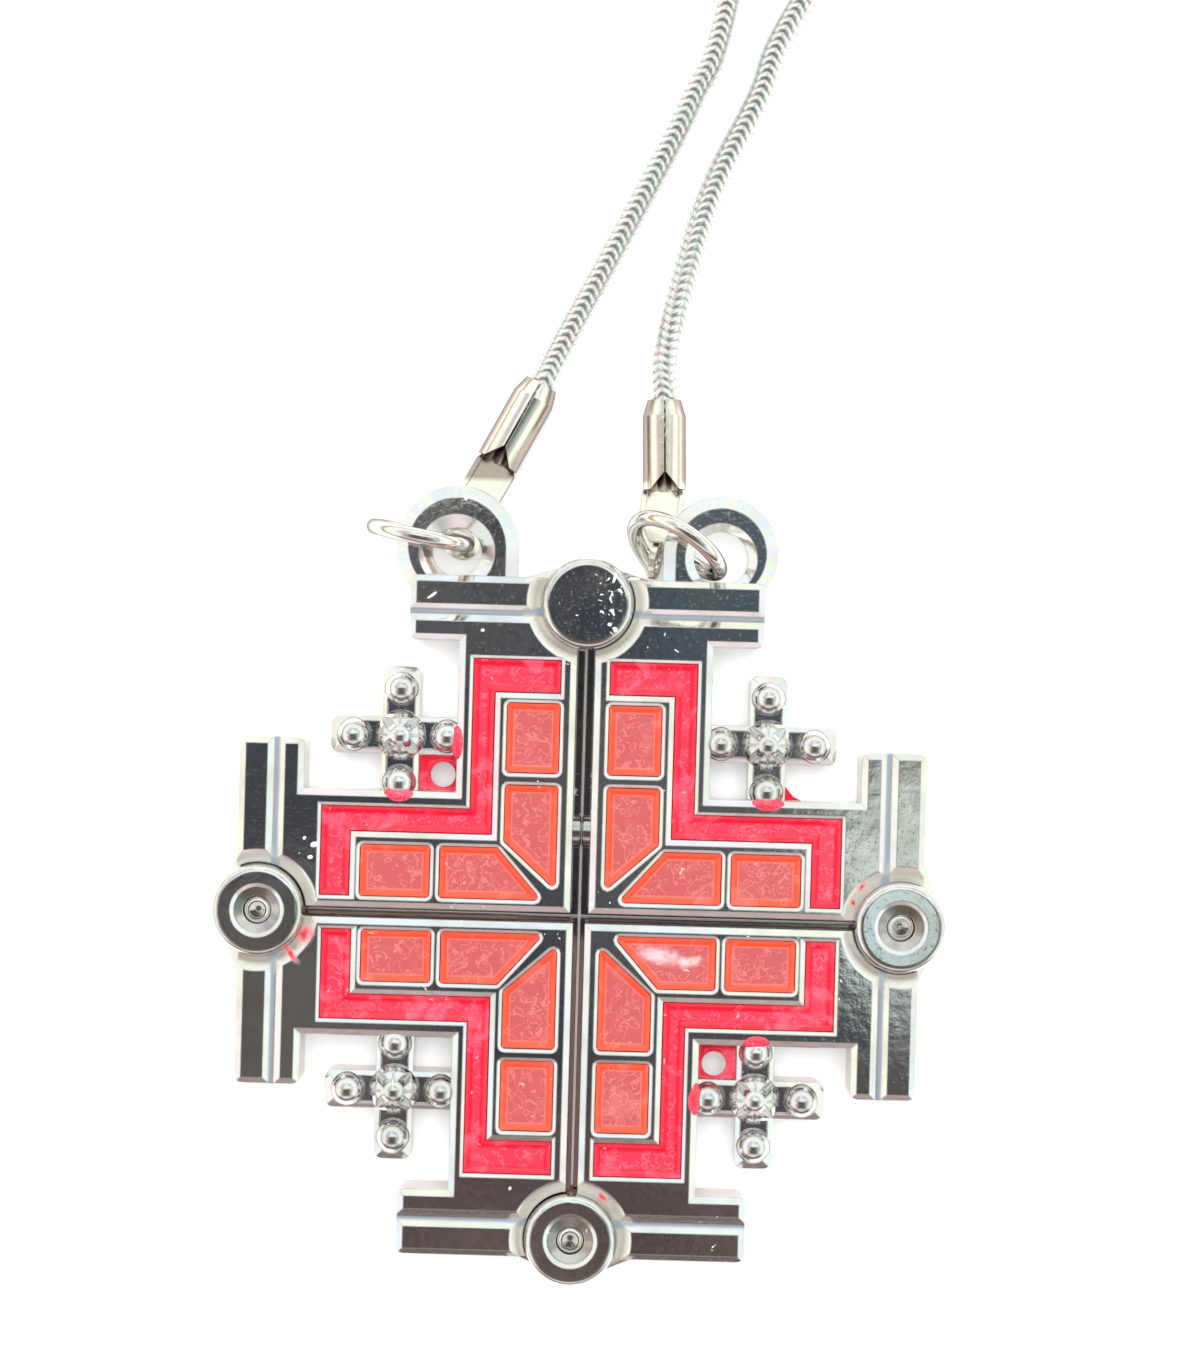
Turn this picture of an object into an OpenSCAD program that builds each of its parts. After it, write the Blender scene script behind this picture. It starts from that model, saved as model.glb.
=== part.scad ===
// Folding Jerusalem cross pendant on a snake chain, in millimetres.
// Four plated castings, each a quarter of the cross with its own small cross, turn on three
// rivets and are held shut by two magnets. Red enamel fills the bands and the windows.
// The pendant lies on its back: z = 0 is the surface, +Z the front, +Y the top of the cross,
// and the origin is the middle of the cross.
// Each quarter is drawn once, in the +X +Y corner, and mirrored into its own corner there.

/* [Cross outline] */
// Outer edge of the crossbars at the arm ends, from the middle of the cross
bar_out = 18.8; // [18:0.1:19.5]
// Inner edge of the crossbars
bar_in = 15.2; // [14.9:0.1:15.6]
// Half length of a crossbar
bar_half = 9.6; // [8.8:0.1:10.2]
// Half width of an arm
arm_half = 6.8; // [6.6:0.1:7.2]
// Corner radius at the ends of a crossbar
bar_round = 0.4; // [0.2:0.05:0.6]
// Thickness of a casting
body_t = 3.0; // [2.9:0.1:3.4]
// Bevel along the front edges of a casting
edge_bevel = 0.35; // [0.2:0.05:0.4]
// Rise of a front bevel for each millimetre of its width
bevel_rise = 0.62; // [0.5:0.01:1]
// Bevel along the back edges of a casting
back_bevel = 0.15; // [0.1:0.05:0.25]
// Thickness of the thin margin that forms the floor of the slots
margin_t = 1.2; // [1:0.1:1.4]
// Distance from the middle of a slot to a casting's thin margin
margin_gap = 0.07; // [0.05:0.01:0.1]
// Distance from the middle of a slot to the raised part of a casting
slot_half = 0.28; // [0.25:0.01:0.35]
// How much further out the two upper quarters are set, which widens the upper slot
top_set_out = 0.22; // [0.1:0.02:0.3]
// How much further out the two lower quarters are set
bottom_set_out = 0.04; // [0:0.02:0.1]

/* [Grooves and enamel] */
// Middle line of the groove along a crossbar
groove_at = 16.75; // [16.6:0.05:17]
// Half width of that groove, whose sides are as steep as the bevels
groove_half = 0.48; // [0.3:0.02:0.5]
// Half width of the groove's flat floor
groove_floor = 0.12; // [0.05:0.01:0.2]
// Outer edge of the red band in the upright arms
column_band_out = 6.0; // [5.8:0.05:6.1]
// Inner edge of the red band in the upright arms
column_band_in = 4.75; // [4.7:0.05:4.9]
// End of the red band in the upright arms
column_band_end = 14.25; // [14:0.05:14.5]
// End of the window frame in the upright arms
column_frame_end = 12.4; // [12.3:0.05:12.6]
// Outer edge of the red band in the side arms
row_band_out = 5.9; // [5.8:0.05:6.1]
// Inner edge of the red band in the side arms
row_band_in = 4.5; // [4.4:0.05:4.7]
// End of the red band in the side arms
row_band_end = 14.2; // [14:0.05:14.5]
// End of the window frame in the side arms
row_frame_end = 12.55; // [12.4:0.05:12.7]
// Edge of the windows nearest the slot in the upright arms
column_near = 1.12; // [1:0.02:1.3]
// Edge of the windows furthest from the slot in the upright arms
column_far = 4.08; // [3.9:0.02:4.2]
// Edge of the windows nearest the slot in the side arms
row_near = 0.92; // [0.9:0.02:1.1]
// Edge of the windows furthest from the slot in the side arms
row_far = 3.8; // [3.6:0.02:3.9]
// Near end of the outer window, along an arm
window_out_from = 7.95; // [7.9:0.05:8.2]
// Far end of the outer window
window_out_to = 11.85; // [11.6:0.05:11.9]
// Far end of the inner window, whose near end is cut slanting
window_in_to = 7.3; // [7.1:0.05:7.4]
// Corner radius of a window
window_round = 0.2; // [0.1:0.02:0.3]
// Depth of the enamel beds below the front face
bed_depth = 0.9; // [0.7:0.05:1]
// Front face down to the enamel
enamel_drop = 0.2; // [0.1:0.05:0.3]
// Bevel along the edges of the enamel beds
bed_bevel = 0.18; // [0.1:0.01:0.2]
// Bevel of the window frame towards the red band
frame_bevel = 0.3; // [0.15:0.01:0.35]
// Gap kept between separate pieces
gap = 0.02; // [0.01:0.01:0.04]

/* [Small crosses] */
// Middle of a small cross, across
small_x = 9.98; // [9.8:0.02:10.2]
// Middle of a small cross, up
small_y = 9.85; // [9.7:0.05:10]
// Width of a small cross's arms
small_w = 2.1; // [2:0.05:2.3]
// Length of a small cross's arm from its middle
small_reach = 3.85; // [3.8:0.05:4]
// Corner radius at the end of a small cross's arm
small_corner = 0.5; // [0.3:0.05:0.6]
// Height of the edges of a small cross's arms
small_t = 2.4; // [2.2:0.05:2.6]
// Height of the sunk floor between those edges
small_floor = 1.9; // [1.7:0.05:2]
// Width of the edge along each side of a small cross's arm
small_edge = 0.3; // [0.2:0.05:0.4]
// Bevel along those edges
small_bevel = 0.5; // [0.1:0.05:0.6]
// Distance of a bead from the middle of the small cross
bead_at = 2.6; // [2.5:0.05:2.8]
// Radius of a bead
bead_r = 0.92; // [0.85:0.01:0.95]
// Height of a bead's top
bead_top = 3.1; // [2.9:0.05:3.2]
// Radius of the rosette in the middle of a small cross
rosette_r = 1.36; // [1.2:0.02:1.5]

/* [Pivots and catch] */
// Distance of the side and bottom pivots from the middle of the cross
pivot_at = 17.8; // [17.6:0.05:18]
// Distance of the top catch disc from the middle of the cross
catch_at = 17.45; // [17.3:0.05:17.8]
// Radius of an eye or of the catch disc
eye_r = 2.56; // [2.4:0.02:2.6]
// Height of an eye's front face
eye_top = 3.25; // [3.1:0.05:3.4]
// Radius of the rounding at the front edge of an eye
eye_round = 0.45; // [0.3:0.05:0.5]
// Height at which an upper eye lies on a lower eye
eye_split = 1.5; // [1.4:0.05:1.6]
// Outer radius of the hollow around an eye
scallop_r = 3.38; // [3.1:0.02:3.5]
// Width of that hollow's sloping side
scallop_w = 0.9; // [0.6:0.05:1]
// Depth of that hollow beside the eye
scallop_depth = 0.55; // [0.4:0.05:0.8]
// Width of the sloping edge of the web beside an eye
web_slope = 0.6; // [0.4:0.05:0.8]
// Running clearance around an eye
eye_clear = 0.08; // [0.05:0.01:0.12]
// Radius of the counterbore in front of a rivet
counterbore_r = 1.28; // [1.2:0.02:1.4]
// Bevel round the mouth of that counterbore
counterbore_bevel = 0.22; // [0.1:0.02:0.3]
// Depth of that counterbore
counterbore_depth = 0.8; // [0.6:0.05:0.9]
// Rise of its dished floor for each millimetre of its width
dish_rise = 0.28; // [0.2:0.02:0.5]
// Radius of the pocket in the dish that takes the rivet's end
pocket_r = 0.78; // [0.75:0.01:0.9]
// Radius of a rivet's shank
rivet_r = 0.55; // [0.5:0.05:0.7]
// Radius of a rivet's front end
rivet_end_r = 0.72; // [0.65:0.01:0.74]
// Radius of a rivet's back head
rivet_head_r = 1.15; // [1:0.05:1.3]
// Thickness of a rivet's back head
rivet_head_t = 0.4; // [0.3:0.05:0.5]
// Radius of a catch magnet
magnet_r = 0.85; // [0.7:0.05:0.9]
// Length of a catch magnet
magnet_len = 2.0; // [1.5:0.1:2.5]
// Height of the catch magnets up the upper slot
magnet_at = 4.75; // [4.5:0.05:5]

/* [Loops, rings and caps] */
// Middle of a chain loop on an upper quarter, across
loop_x = 7.1; // [6.9:0.05:7.2]
// Middle of a chain loop, up
loop_y = 20.4; // [20.2:0.05:20.5]
// How much lower the hole of a loop sits than its outside
loop_hole_drop = 0.3; // [0:0.05:0.4]
// Outer radius of the left loop
loop_left_r = 3.4; // [3.1:0.05:3.5]
// Outer radius of the right loop
loop_right_r = 3.2; // [3.1:0.05:3.4]
// Radius of the hole in the left loop
loop_left_hole_r = 1.35; // [1.3:0.05:1.6]
// Radius of the hole in the right loop
loop_right_hole_r = 1.5; // [1.4:0.05:1.6]
// Height of a loop's back face
loop_from = 1.65; // [1.4:0.05:1.8]
// Height of a loop's front face
loop_to = 2.8; // [2.6:0.05:2.85]
// Radius of a jump ring, to the middle of its wire
ring_r = 2.6; // [2.55:0.01:2.65]
// Radius of a jump ring's wire
ring_wire_r = 0.43; // [0.38:0.01:0.45]
// Outer radius of an end cap's barrel
cap_r = 1.2; // [1.15:0.05:1.25]
// Length of an end cap's barrel
cap_len = 5.0; // [4.5:0.1:5.5]
// Outer radius of its mouth, where it is crimped round the chain
cap_mouth_r = 0.94; // [0.9:0.02:1.1]
// Length of the taper behind the mouth
cap_taper = 0.9; // [0.5:0.1:1.5]
// Radius of the bore that the chain's end sits in
cap_bore_r = 0.8; // [0.78:0.01:0.85]
// Width of an end cap's flat tab
tab_w = 2.4; // [2.1:0.1:2.6]
// Thickness of an end cap's tab and eye
tab_t = 0.36; // [0.32:0.02:0.36]
// Height of the turned-up sides of a tab above its flat
tab_side = 0.3; // [0.2:0.05:0.4]
// Rise of a tab towards its eye, for each millimetre of its length
tab_rise = 0.08; // [0:0.01:0.1]
// Width of the neck between a tab and its eye
neck_w = 0.8; // [0.6:0.05:1]
// Outer radius of the eye at the end of a tab
tab_eye_r = 1.08; // [1:0.02:1.15]
// Radius of that eye's hole
tab_hole_r = 0.74; // [0.72:0.01:0.78]

/* [Chain] */
// Diameter of the snake chain
chain_d = 1.5; // [1.4:0.05:1.5]
// Radius of the barrel clasp
clasp_r = 1.6; // [1.5:0.1:2]
// Length of the barrel clasp
clasp_len = 10; // [8:0.5:12]

/* [Hidden] */
$fn = 64;
eps = 0.01;
corner_steps = 3;

// A quarter: name, side, up, set out, catch or pivot height, whether its upper eye ends the upright arm
QUARTERS = [
    ["top_left", -1, 1, top_set_out, catch_at, true],
    ["top_right", 1, 1, top_set_out, catch_at, false],
    ["bottom_left", -1, -1, bottom_set_out, pivot_at, false],
    ["bottom_right", 1, -1, bottom_set_out, pivot_at, true],
];
function side(q) = q[1];
function up(q) = q[2];
function set_out(q) = q[3];
function column_pivot(q) = q[4];
function upper_on_column(q) = q[5];

// The points that round off corner p between its neighbours before and after
function arc_corner(before, p, after, r) =
    let (u = (before - p) / norm(before - p), v = (after - p) / norm(after - p),
         half = acos(u * v) / 2, middle = p + (u + v) / norm(u + v) * r / sin(half),
         start = atan2(u[0], -u[1]), turn = 180 - 2 * half)
    [for (k = [0 : corner_steps]) middle + r * [cos(start + turn * k / corner_steps),
                                                sin(start + turn * k / corner_steps)]];

// An outline that bends only outwards, given anticlockwise, with its corners rounded off
function rounded(outline, r) =
    let (n = len(outline))
    [for (i = [0 : n - 1]) each arc_corner(outline[(i + n - 1) % n], outline[i], outline[(i + 1) % n], r)];

// A window: name and outline, anticlockwise, in the +X +Y quarter
tip_column = row_near + 0.58;
tip_row = column_near + 0.73;
WINDOWS = [
    ["column_outer", [[column_near, window_out_from], [column_far, window_out_from],
                      [column_far, window_out_to], [column_near, window_out_to]]],
    ["column_inner", [[column_near, tip_column], [column_far, column_far + 0.07],
                      [column_far, window_in_to], [column_near, window_in_to]]],
    ["row_outer", [[window_out_from + 0.15, row_near], [window_out_to + 0.15, row_near],
                   [window_out_to + 0.15, row_far], [window_out_from + 0.15, row_far]]],
    ["row_inner", [[tip_row, row_near], [window_in_to + 0.3, row_near],
                   [window_in_to + 0.3, row_far], [row_far + 0.6, row_far]]],
];

// A rivet: name and pivot
RIVETS = [
    ["left", [-pivot_at, 0]],
    ["right", [pivot_at, 0]],
    ["bottom", [0, -pivot_at]],
];

face = body_t;
bed_floor = face - bed_depth;
enamel_top = face - enamel_drop;
magnet_z = magnet_r + 0.2;
chain_r = chain_d / 2;

// Far corner of the square gap between a small cross and the arms of its quarter
inner_x = small_x - small_w / 2;
inner_y = small_y - small_w / 2;

// A jump ring: name, middle, turn of its level diameter, lean of its plane from lying flat,
// angle of its cut, and how far each end is twisted aside there
RINGS = [
    ["left", [-9.33, 20.94, 3.08], -9.9, 94, 181.5, 0],
    ["right", [4.9, 20.67, 3.21], -38.2, 71.7, -96, 0.86],
];

// An end cap: name, where the chain enters it, where its barrel ends, where its tab ends,
// middle of its eye, and the direction the eye's hole runs in
CAPS = [
    ["left", [-2.95, 29.65], [-5.3, 25.2], [-6.8, 22.4], [-7.16, 20.76, 1.36], [0.477, 0.318, 0.819]],
    ["right", [3.95, 28.95], [4.1, 24.0], [3.75, 21.0], [3.71, 20.01, 1.15], [0.965, -0.156, 0.209]],
];

// Chain route: hand-picked points of each strand, from inside its end cap to the clasp
LEFT_ROUTE = [
    [-4.12, 27.44, 1.2], [-2.95, 29.65, 1.2], [-1.8, 32.1, 0.9], [2.3, 40.2, 0.75],
    [5, 45.9, 0.75], [6.9, 51.5, 0.75], [10.4, 73, 0.75], [9.6, 101, 0.75], [6.2, 133, 0.75],
    [6.3, 158, 0.75], [11, 180, 0.75], [20, 197.5, 0.75], [33, 209.5, 0.75], [47, 215.3, 0.75],
    [60.4, 215, 1.2], [66, 212.9, 1.6],
];
RIGHT_ROUTE = [
    [4.03, 26.45, 1.2], [3.95, 28.95, 1.2], [4.1, 32.4, 0.9], [6.1, 40.3, 0.75],
    [8.7, 46, 0.75], [11.1, 51.7, 0.75], [22, 69, 0.75], [45, 92, 0.75], [69, 114, 0.75],
    [84, 131, 0.75], [93.5, 148, 0.75], [98.4, 167, 0.75], [96.5, 185.5, 0.75], [89.5, 199.5, 0.75],
    [80, 207.5, 1.2], [74.4, 209.7, 1.6],
];
CLASP_AT = (LEFT_ROUTE[15] + RIGHT_ROUTE[15]) / 2;

// Steps the route is cut into after each of its points: fine where the chain is seen, coarse beyond
function route_steps(i) = i > 0 && i < 5 ? 4 : 2;

// Places what is drawn in the +X +Y corner into a quarter's own corner
module in_quarter(q) {
    mirror([side(q) < 0 ? 1 : 0, 0, 0])
        mirror([0, up(q) < 0 ? 1 : 0, 0])
            children();
}

// Outline of a bar's cross-section with bevelled front and back edges
module bar_profile(w, t, top, bottom) {
    side_top = t - top * bevel_rise;
    polygon([[bottom, 0], [w - bottom, 0], [w, bottom], [w, side_top],
             [w - top, t], [top, t], [0, side_top], [0, bottom]]);
}

// A flat bar from one corner to the other, with all its front and back edges bevelled
module bevel_bar(from, to, t, top, bottom) {
    w = to[0] - from[0];
    d = to[1] - from[1];
    intersection() {
        translate([from[0], to[1], 0])
            rotate([90, 0, 0])
                linear_extrude(d) bar_profile(w, t, top, bottom);
        translate([from[0], from[1], 0])
            rotate([90, 0, 90])
                linear_extrude(w) bar_profile(d, t, top, bottom);
    }
}

// Cross-section of a bed whose edges flare towards the front by lo and hi
module bed_profile(w, lo, hi) {
    polygon([[0, 0], [w, 0], [w, bed_depth - hi * bevel_rise], [w + hi, bed_depth], [w + hi, bed_depth + 1],
             [-lo, bed_depth + 1], [-lo, bed_depth], [0, bed_depth - lo * bevel_rise]]);
}

// A rectangular bed with a bevel on each side: low x, high x, low y, high y
module bed(from, to, bevels) {
    w = to[0] - from[0];
    d = to[1] - from[1];
    translate([0, 0, bed_floor])
        intersection() {
            translate([from[0], to[1] + 1, 0])
                rotate([90, 0, 0])
                    linear_extrude(d + 2) bed_profile(w, bevels[0], bevels[1]);
            translate([from[0] - 1, from[1], 0])
                rotate([90, 0, 90])
                    linear_extrude(w + 2) bed_profile(d, bevels[2], bevels[3]);
        }
}

// The bed of a window: straight walls, with each edge bevelled towards the front
module window_bed(outline) {
    edge = rounded(outline, window_round);
    n = len(edge);
    translate([0, 0, bed_floor])
        linear_extrude(bed_depth + 1) polygon(edge);
    intersection_for(i = [0 : n - 1]) {
        a = edge[i];
        b = edge[(i + 1) % n];
        translate([a[0], a[1], face - bed_bevel * bevel_rise])
            rotate([0, 0, atan2(b[1] - a[1], b[0] - a[0])])
                rotate([atan(1 / bevel_rise), 0, 0])
                    translate([-30, 0, -30])
                        cube([60, 30, 60]);
    }
}

// A crossbar: a bevelled bar with its corners rounded off
module crossbar(from, to) {
    intersection() {
        bevel_bar(from, to, face, edge_bevel, back_bevel);
        linear_extrude(face)
            polygon(rounded([from, [to[0], from[1]], to, [from[0], to[1]]], bar_round));
    }
}

// The raised part of a quarter: two arms with a crossbar across the end of each
module raised_body() {
    bevel_bar([slot_half, slot_half], [arm_half, bar_out], face, edge_bevel, back_bevel);
    bevel_bar([slot_half, slot_half], [bar_out, arm_half], face, edge_bevel, back_bevel);
    crossbar([slot_half, bar_in], [bar_half, bar_out]);
    crossbar([bar_in, slot_half], [bar_out, bar_half]);
}

// The thin margin that runs from the raised part to the middle of each slot
module slot_margin(out) {
    bevel_bar([margin_gap - out, margin_gap], [2, bar_out], margin_t, eps, back_bevel);
    bevel_bar([margin_gap - out, margin_gap], [bar_out, 2], margin_t, eps, back_bevel);
}

// The beds of the red band: down the side of each arm and round the end of the window frame
module band_beds() {
    frame = frame_bevel;
    rim = bed_bevel;
    bed([column_band_in, row_band_in], [column_band_out, column_band_end], [frame, rim, frame, rim]);
    bed([column_band_in, row_band_in], [row_band_end, row_band_out], [frame, rim, frame, rim]);
    bed([column_near, column_frame_end], [column_band_out, column_band_end], [rim, rim, frame, rim]);
    bed([row_frame_end, row_near], [row_band_end, row_band_out], [frame, rim, rim, rim]);
}

// A groove with sloping sides and a narrow floor along a crossbar
module bar_groove() {
    depth = (groove_half - groove_floor) * bevel_rise;
    above = 2 * groove_half - groove_floor;
    translate([-1, groove_at, face])
        rotate([90, 0, 90])
            linear_extrude(bar_half + 2)
                polygon([[-groove_floor, -depth], [groove_floor, -depth], [above, depth], [-above, depth]]);
}

// Outline of a bar with rounded corners, centred
module rounded_bar(l, w, r) {
    square([l, w - 2 * r], center = true);
    square([l - 2 * r, w], center = true);
    for (x = [-1, 1], y = [-1, 1])
        translate([x * (l / 2 - r), y * (w / 2 - r)])
            circle(r);
}

// The rosette in the middle of a small cross: a low dome cut into petals, round a small bead
module rosette() {
    dome_r = 1.6;
    dome_top = bead_top - 0.05;
    heart_r = 0.8;
    heart_top = bead_top + 0.05;
    translate([0, 0, heart_top - heart_r]) sphere(heart_r);
    difference() {
        intersection() {
            translate([0, 0, dome_top - dome_r]) sphere(dome_r);
            translate([0, 0, 1]) cylinder(r = rosette_r, h = 3);
        }
        for (a = [45 : 90 : 315])
            rotate([0, 0, a])
                translate([0.15, 0, bead_top - 0.05])
                    rotate([0, 24, 0])
                        rotate([45, 0, 0])
                            translate([0, -0.2, -0.2])
                                cube([2.5, 0.4, 0.4]);
        for (a = [0 : 90 : 270])
            rotate([0, 0, a])
                translate([0.75, 0, bead_top - 0.15])
                    rotate([0, 32, 0])
                        rotate([45, 0, 0])
                            translate([0, -0.11, -0.11])
                                cube([1.5, 0.22, 0.22]);
    }
}

// A small cross: edged arms with a bead near each end and a rosette in the middle
module small_cross() {
    translate([small_x, small_y, 0]) {
        difference() {
            for (a = [0, 90])
                rotate([0, 0, a])
                    intersection() {
                        linear_extrude(small_t) rounded_bar(2 * small_reach, small_w, small_corner);
                        bevel_bar([-small_reach, -small_w / 2], [small_reach, small_w / 2],
                                  small_t, small_bevel, back_bevel);
                    }
            for (a = [0, 90])
                rotate([0, 0, a])
                    translate([-bead_at, -small_w / 2 + small_edge, small_floor])
                        cube([2 * bead_at, small_w - 2 * small_edge, 2]);
        }
        for (a = [0 : 90 : 270])
            rotate([0, 0, a])
                translate([bead_at, 0, 0]) {
                    translate([0, 0, 0.5]) cylinder(r = bead_r + 0.02, h = bead_top - bead_r - 0.48);
                    translate([0, 0, bead_top - bead_r]) sphere(bead_r);
                }
        rosette();
    }
}

// The chain loop on top of an upper quarter: a flat ring, bevelled inside and out, with a straight
// leg down to the crossbar on the side of the catch disc
module chain_loop(r, hole_r) {
    t = loop_to - loop_from;
    outer = 0.68;
    inner = min(r - hole_r - 1.2, 0.75);
    back = 0.3;
    difference() {
        union() {
            translate([loop_x, loop_y, loop_from]) {
                cylinder(r1 = r - back, r2 = r, h = back);
                translate([0, 0, back]) cylinder(r = r, h = t - back - outer * bevel_rise);
                translate([0, 0, t - outer * bevel_rise])
                    cylinder(r1 = r, r2 = r - outer, h = outer * bevel_rise);
            }
            translate([loop_x - r, loop_y, loop_from])
                rotate([90, 0, 0])
                    linear_extrude(loop_y - bar_out + 0.7)
                        polygon([[back, 0], [r, 0], [r, t], [outer, t], [0, t - outer * bevel_rise], [0, back]]);
        }
        translate([loop_x, loop_y - loop_hole_drop, 0]) {
            cylinder(r = hole_r, h = 5);
            translate([0, 0, loop_to - inner * bevel_rise])
                cylinder(r1 = hole_r, r2 = hole_r + 2 * inner, h = 2 * inner * bevel_rise);
            translate([0, 0, loop_from - 1])
                cylinder(r1 = hole_r + back + 1, r2 = hole_r, h = back + 1);
        }
    }
}

// Solid disc of an eye between two heights, with a rounded front edge where it is the upper one
module eye_disc(from, to, rounding) {
    translate([0, 0, from])
        cylinder(r = eye_r, h = to - rounding - from);
    if (rounding > 0) {
        translate([0, 0, to - rounding - eps])
            cylinder(r = eye_r - rounding, h = rounding + eps);
        translate([0, 0, to - rounding])
            rotate_extrude()
                translate([eye_r - rounding, 0])
                    intersection() {
                        circle(rounding);
                        translate([-eps, -eps]) square(rounding + 2 * eps);
                    }
    }
}

// The web that runs from an eye out to the edge of the crossbar, drawn for an eye at the origin. Its
// outer edge slopes down as the bevels do.
module eye_web(from, to, edge) {
    near_eye = [0.9, 2.2];
    near_bar = [3.9, edge - 0.1];
    run = near_bar - near_eye;
    difference() {
        translate([0, 0, from])
            linear_extrude(to - from)
                polygon([[0, 0], near_eye, near_bar, [near_bar[0], 0]]);
        translate([near_eye[0], near_eye[1], to - web_slope * bevel_rise])
            rotate([0, 0, atan2(run[1], run[0])])
                rotate([-atan(bevel_rise), 0, 0])
                    translate([-10, -10, 0])
                        cube([20, 20, 5]);
    }
}

// What an upper eye's casting loses around its pivot: room for the lower eye, and the hollow
module upper_eye_room() {
    translate([0, 0, -1])
        cylinder(r = eye_r + eye_clear, h = eye_split + gap + 1);
    translate([0, 0, face - scallop_depth])
        cylinder(r1 = scallop_r - scallop_w, r2 = scallop_r + scallop_w, h = 2 * scallop_depth);
}

// What a lower eye's casting loses around its pivot: room for the upper eye, and the hollow
module lower_eye_room() {
    translate([0, 0, eye_split])
        cylinder(r = eye_r + eye_clear, h = 3);
    translate([0, 0, face - scallop_depth])
        cylinder(r1 = scallop_r - scallop_w, r2 = scallop_r + scallop_w, h = 2 * scallop_depth);
}

// The rivet's hole through both eyes, with its counterbore in front and the recess of its head behind
module rivet_hole() {
    mouth_z = eye_top - counterbore_bevel * bevel_rise;
    translate([0, 0, -1]) cylinder(r = rivet_r + 0.03, h = 6);
    translate([0, 0, eye_top - counterbore_depth]) cylinder(r = pocket_r, h = 2);
    translate([0, 0, mouth_z - dish_rise * (counterbore_r - pocket_r)])
        cylinder(r1 = pocket_r, r2 = counterbore_r, h = dish_rise * (counterbore_r - pocket_r) + eps);
    translate([0, 0, mouth_z])
        cylinder(r1 = counterbore_r, r2 = counterbore_r + 2 * counterbore_bevel,
                 h = 2 * counterbore_bevel * bevel_rise);
    translate([0, 0, -1]) cylinder(r = rivet_head_r + 0.05, h = rivet_head_t + 1 + gap);
}

// Room for a catch magnet, from the middle of the slot into the casting
module magnet_bore() {
    translate([-1, magnet_at, magnet_z])
        rotate([0, 90, 0])
            cylinder(r = magnet_r + gap, h = magnet_len + 1 + 2 * gap);
}

// One casting, drawn in the +X +Y corner
module quarter(q) {
    out = set_out(q);
    column = [0, column_pivot(q), 0];
    row = [pivot_at, 0, 0];
    upper = upper_on_column(q) ? column : row;
    lower = upper_on_column(q) ? row : column;
    column_edge = bar_out - column_pivot(q);
    row_edge = bar_out + out - pivot_at;
    difference() {
        union() {
            difference() {
                translate([out, 0, 0]) {
                    difference() {
                        union() {
                            raised_body();
                            slot_margin(out);
                        }
                        band_beds();
                        for (w = WINDOWS) window_bed(w[1]);
                        bar_groove();
                        mirror([1, -1, 0]) bar_groove();
                    }
                    small_cross();
                    if (up(q) > 0)
                        chain_loop(side(q) < 0 ? loop_left_r : loop_right_r,
                                   side(q) < 0 ? loop_left_hole_r : loop_right_hole_r);
                }
                translate(upper) upper_eye_room();
                translate(lower) lower_eye_room();
            }
            translate(upper) eye_disc(eye_split + gap, eye_top, eye_round);
            translate(lower) eye_disc(0, eye_split, 0);
            if (upper_on_column(q)) {
                translate(column) eye_web(eye_split + gap, face - scallop_depth, column_edge);
                translate(row) mirror([1, -1, 0]) eye_web(0, eye_split, row_edge);
            } else {
                translate(column) eye_web(0, eye_split, column_edge);
                translate(row) mirror([1, -1, 0]) eye_web(eye_split + gap, face - scallop_depth, row_edge);
            }
        }
        translate(row) rivet_hole();
        if (up(q) < 0) translate(column) rivet_hole();
        if (up(q) > 0) magnet_bore();
    }
}

// Where the enamel of the red band lies, shrunk by the gap between pieces
module band_outline(g) {
    translate([column_band_in + g, row_band_in + g])
        square([column_band_out - column_band_in - 2 * g, column_band_end - row_band_in - 2 * g]);
    translate([column_band_in + g, row_band_in + g])
        square([row_band_end - column_band_in - 2 * g, row_band_out - row_band_in - 2 * g]);
    translate([column_near + g, column_frame_end + g])
        square([column_band_out - column_near - 2 * g, column_band_end - column_frame_end - 2 * g]);
    translate([row_frame_end + g, row_near + g])
        square([row_band_end - row_frame_end - 2 * g, row_band_out - row_near - 2 * g]);
}

// Red enamel of a band, trimmed where the hollow around each eye crosses it
module band_enamel(q) {
    color("crimson")
        in_quarter(q)
            difference() {
                translate([set_out(q), 0, bed_floor + gap])
                    linear_extrude(enamel_top - bed_floor - gap) band_outline(gap);
                for (p = [[0, column_pivot(q)], [pivot_at, 0]])
                    translate([p[0], p[1], 0])
                        cylinder(r = scallop_r + 0.05, h = 5);
            }
}

// Orange-red translucent enamel of one window
module window_enamel(q, w) {
    points = w[1];
    middle = (points[0] + points[1] + points[2] + points[3]) / 4;
    color("orangered")
        in_quarter(q)
            translate([set_out(q), 0, bed_floor + gap])
                linear_extrude(enamel_top - bed_floor - gap)
                    translate(middle)
                        scale(0.985)
                            translate(-middle)
                                polygon(rounded(points, window_round));
}

// A plated casting
module quarter_casting(q) {
    color("silver") in_quarter(q) quarter(q);
}

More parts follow.
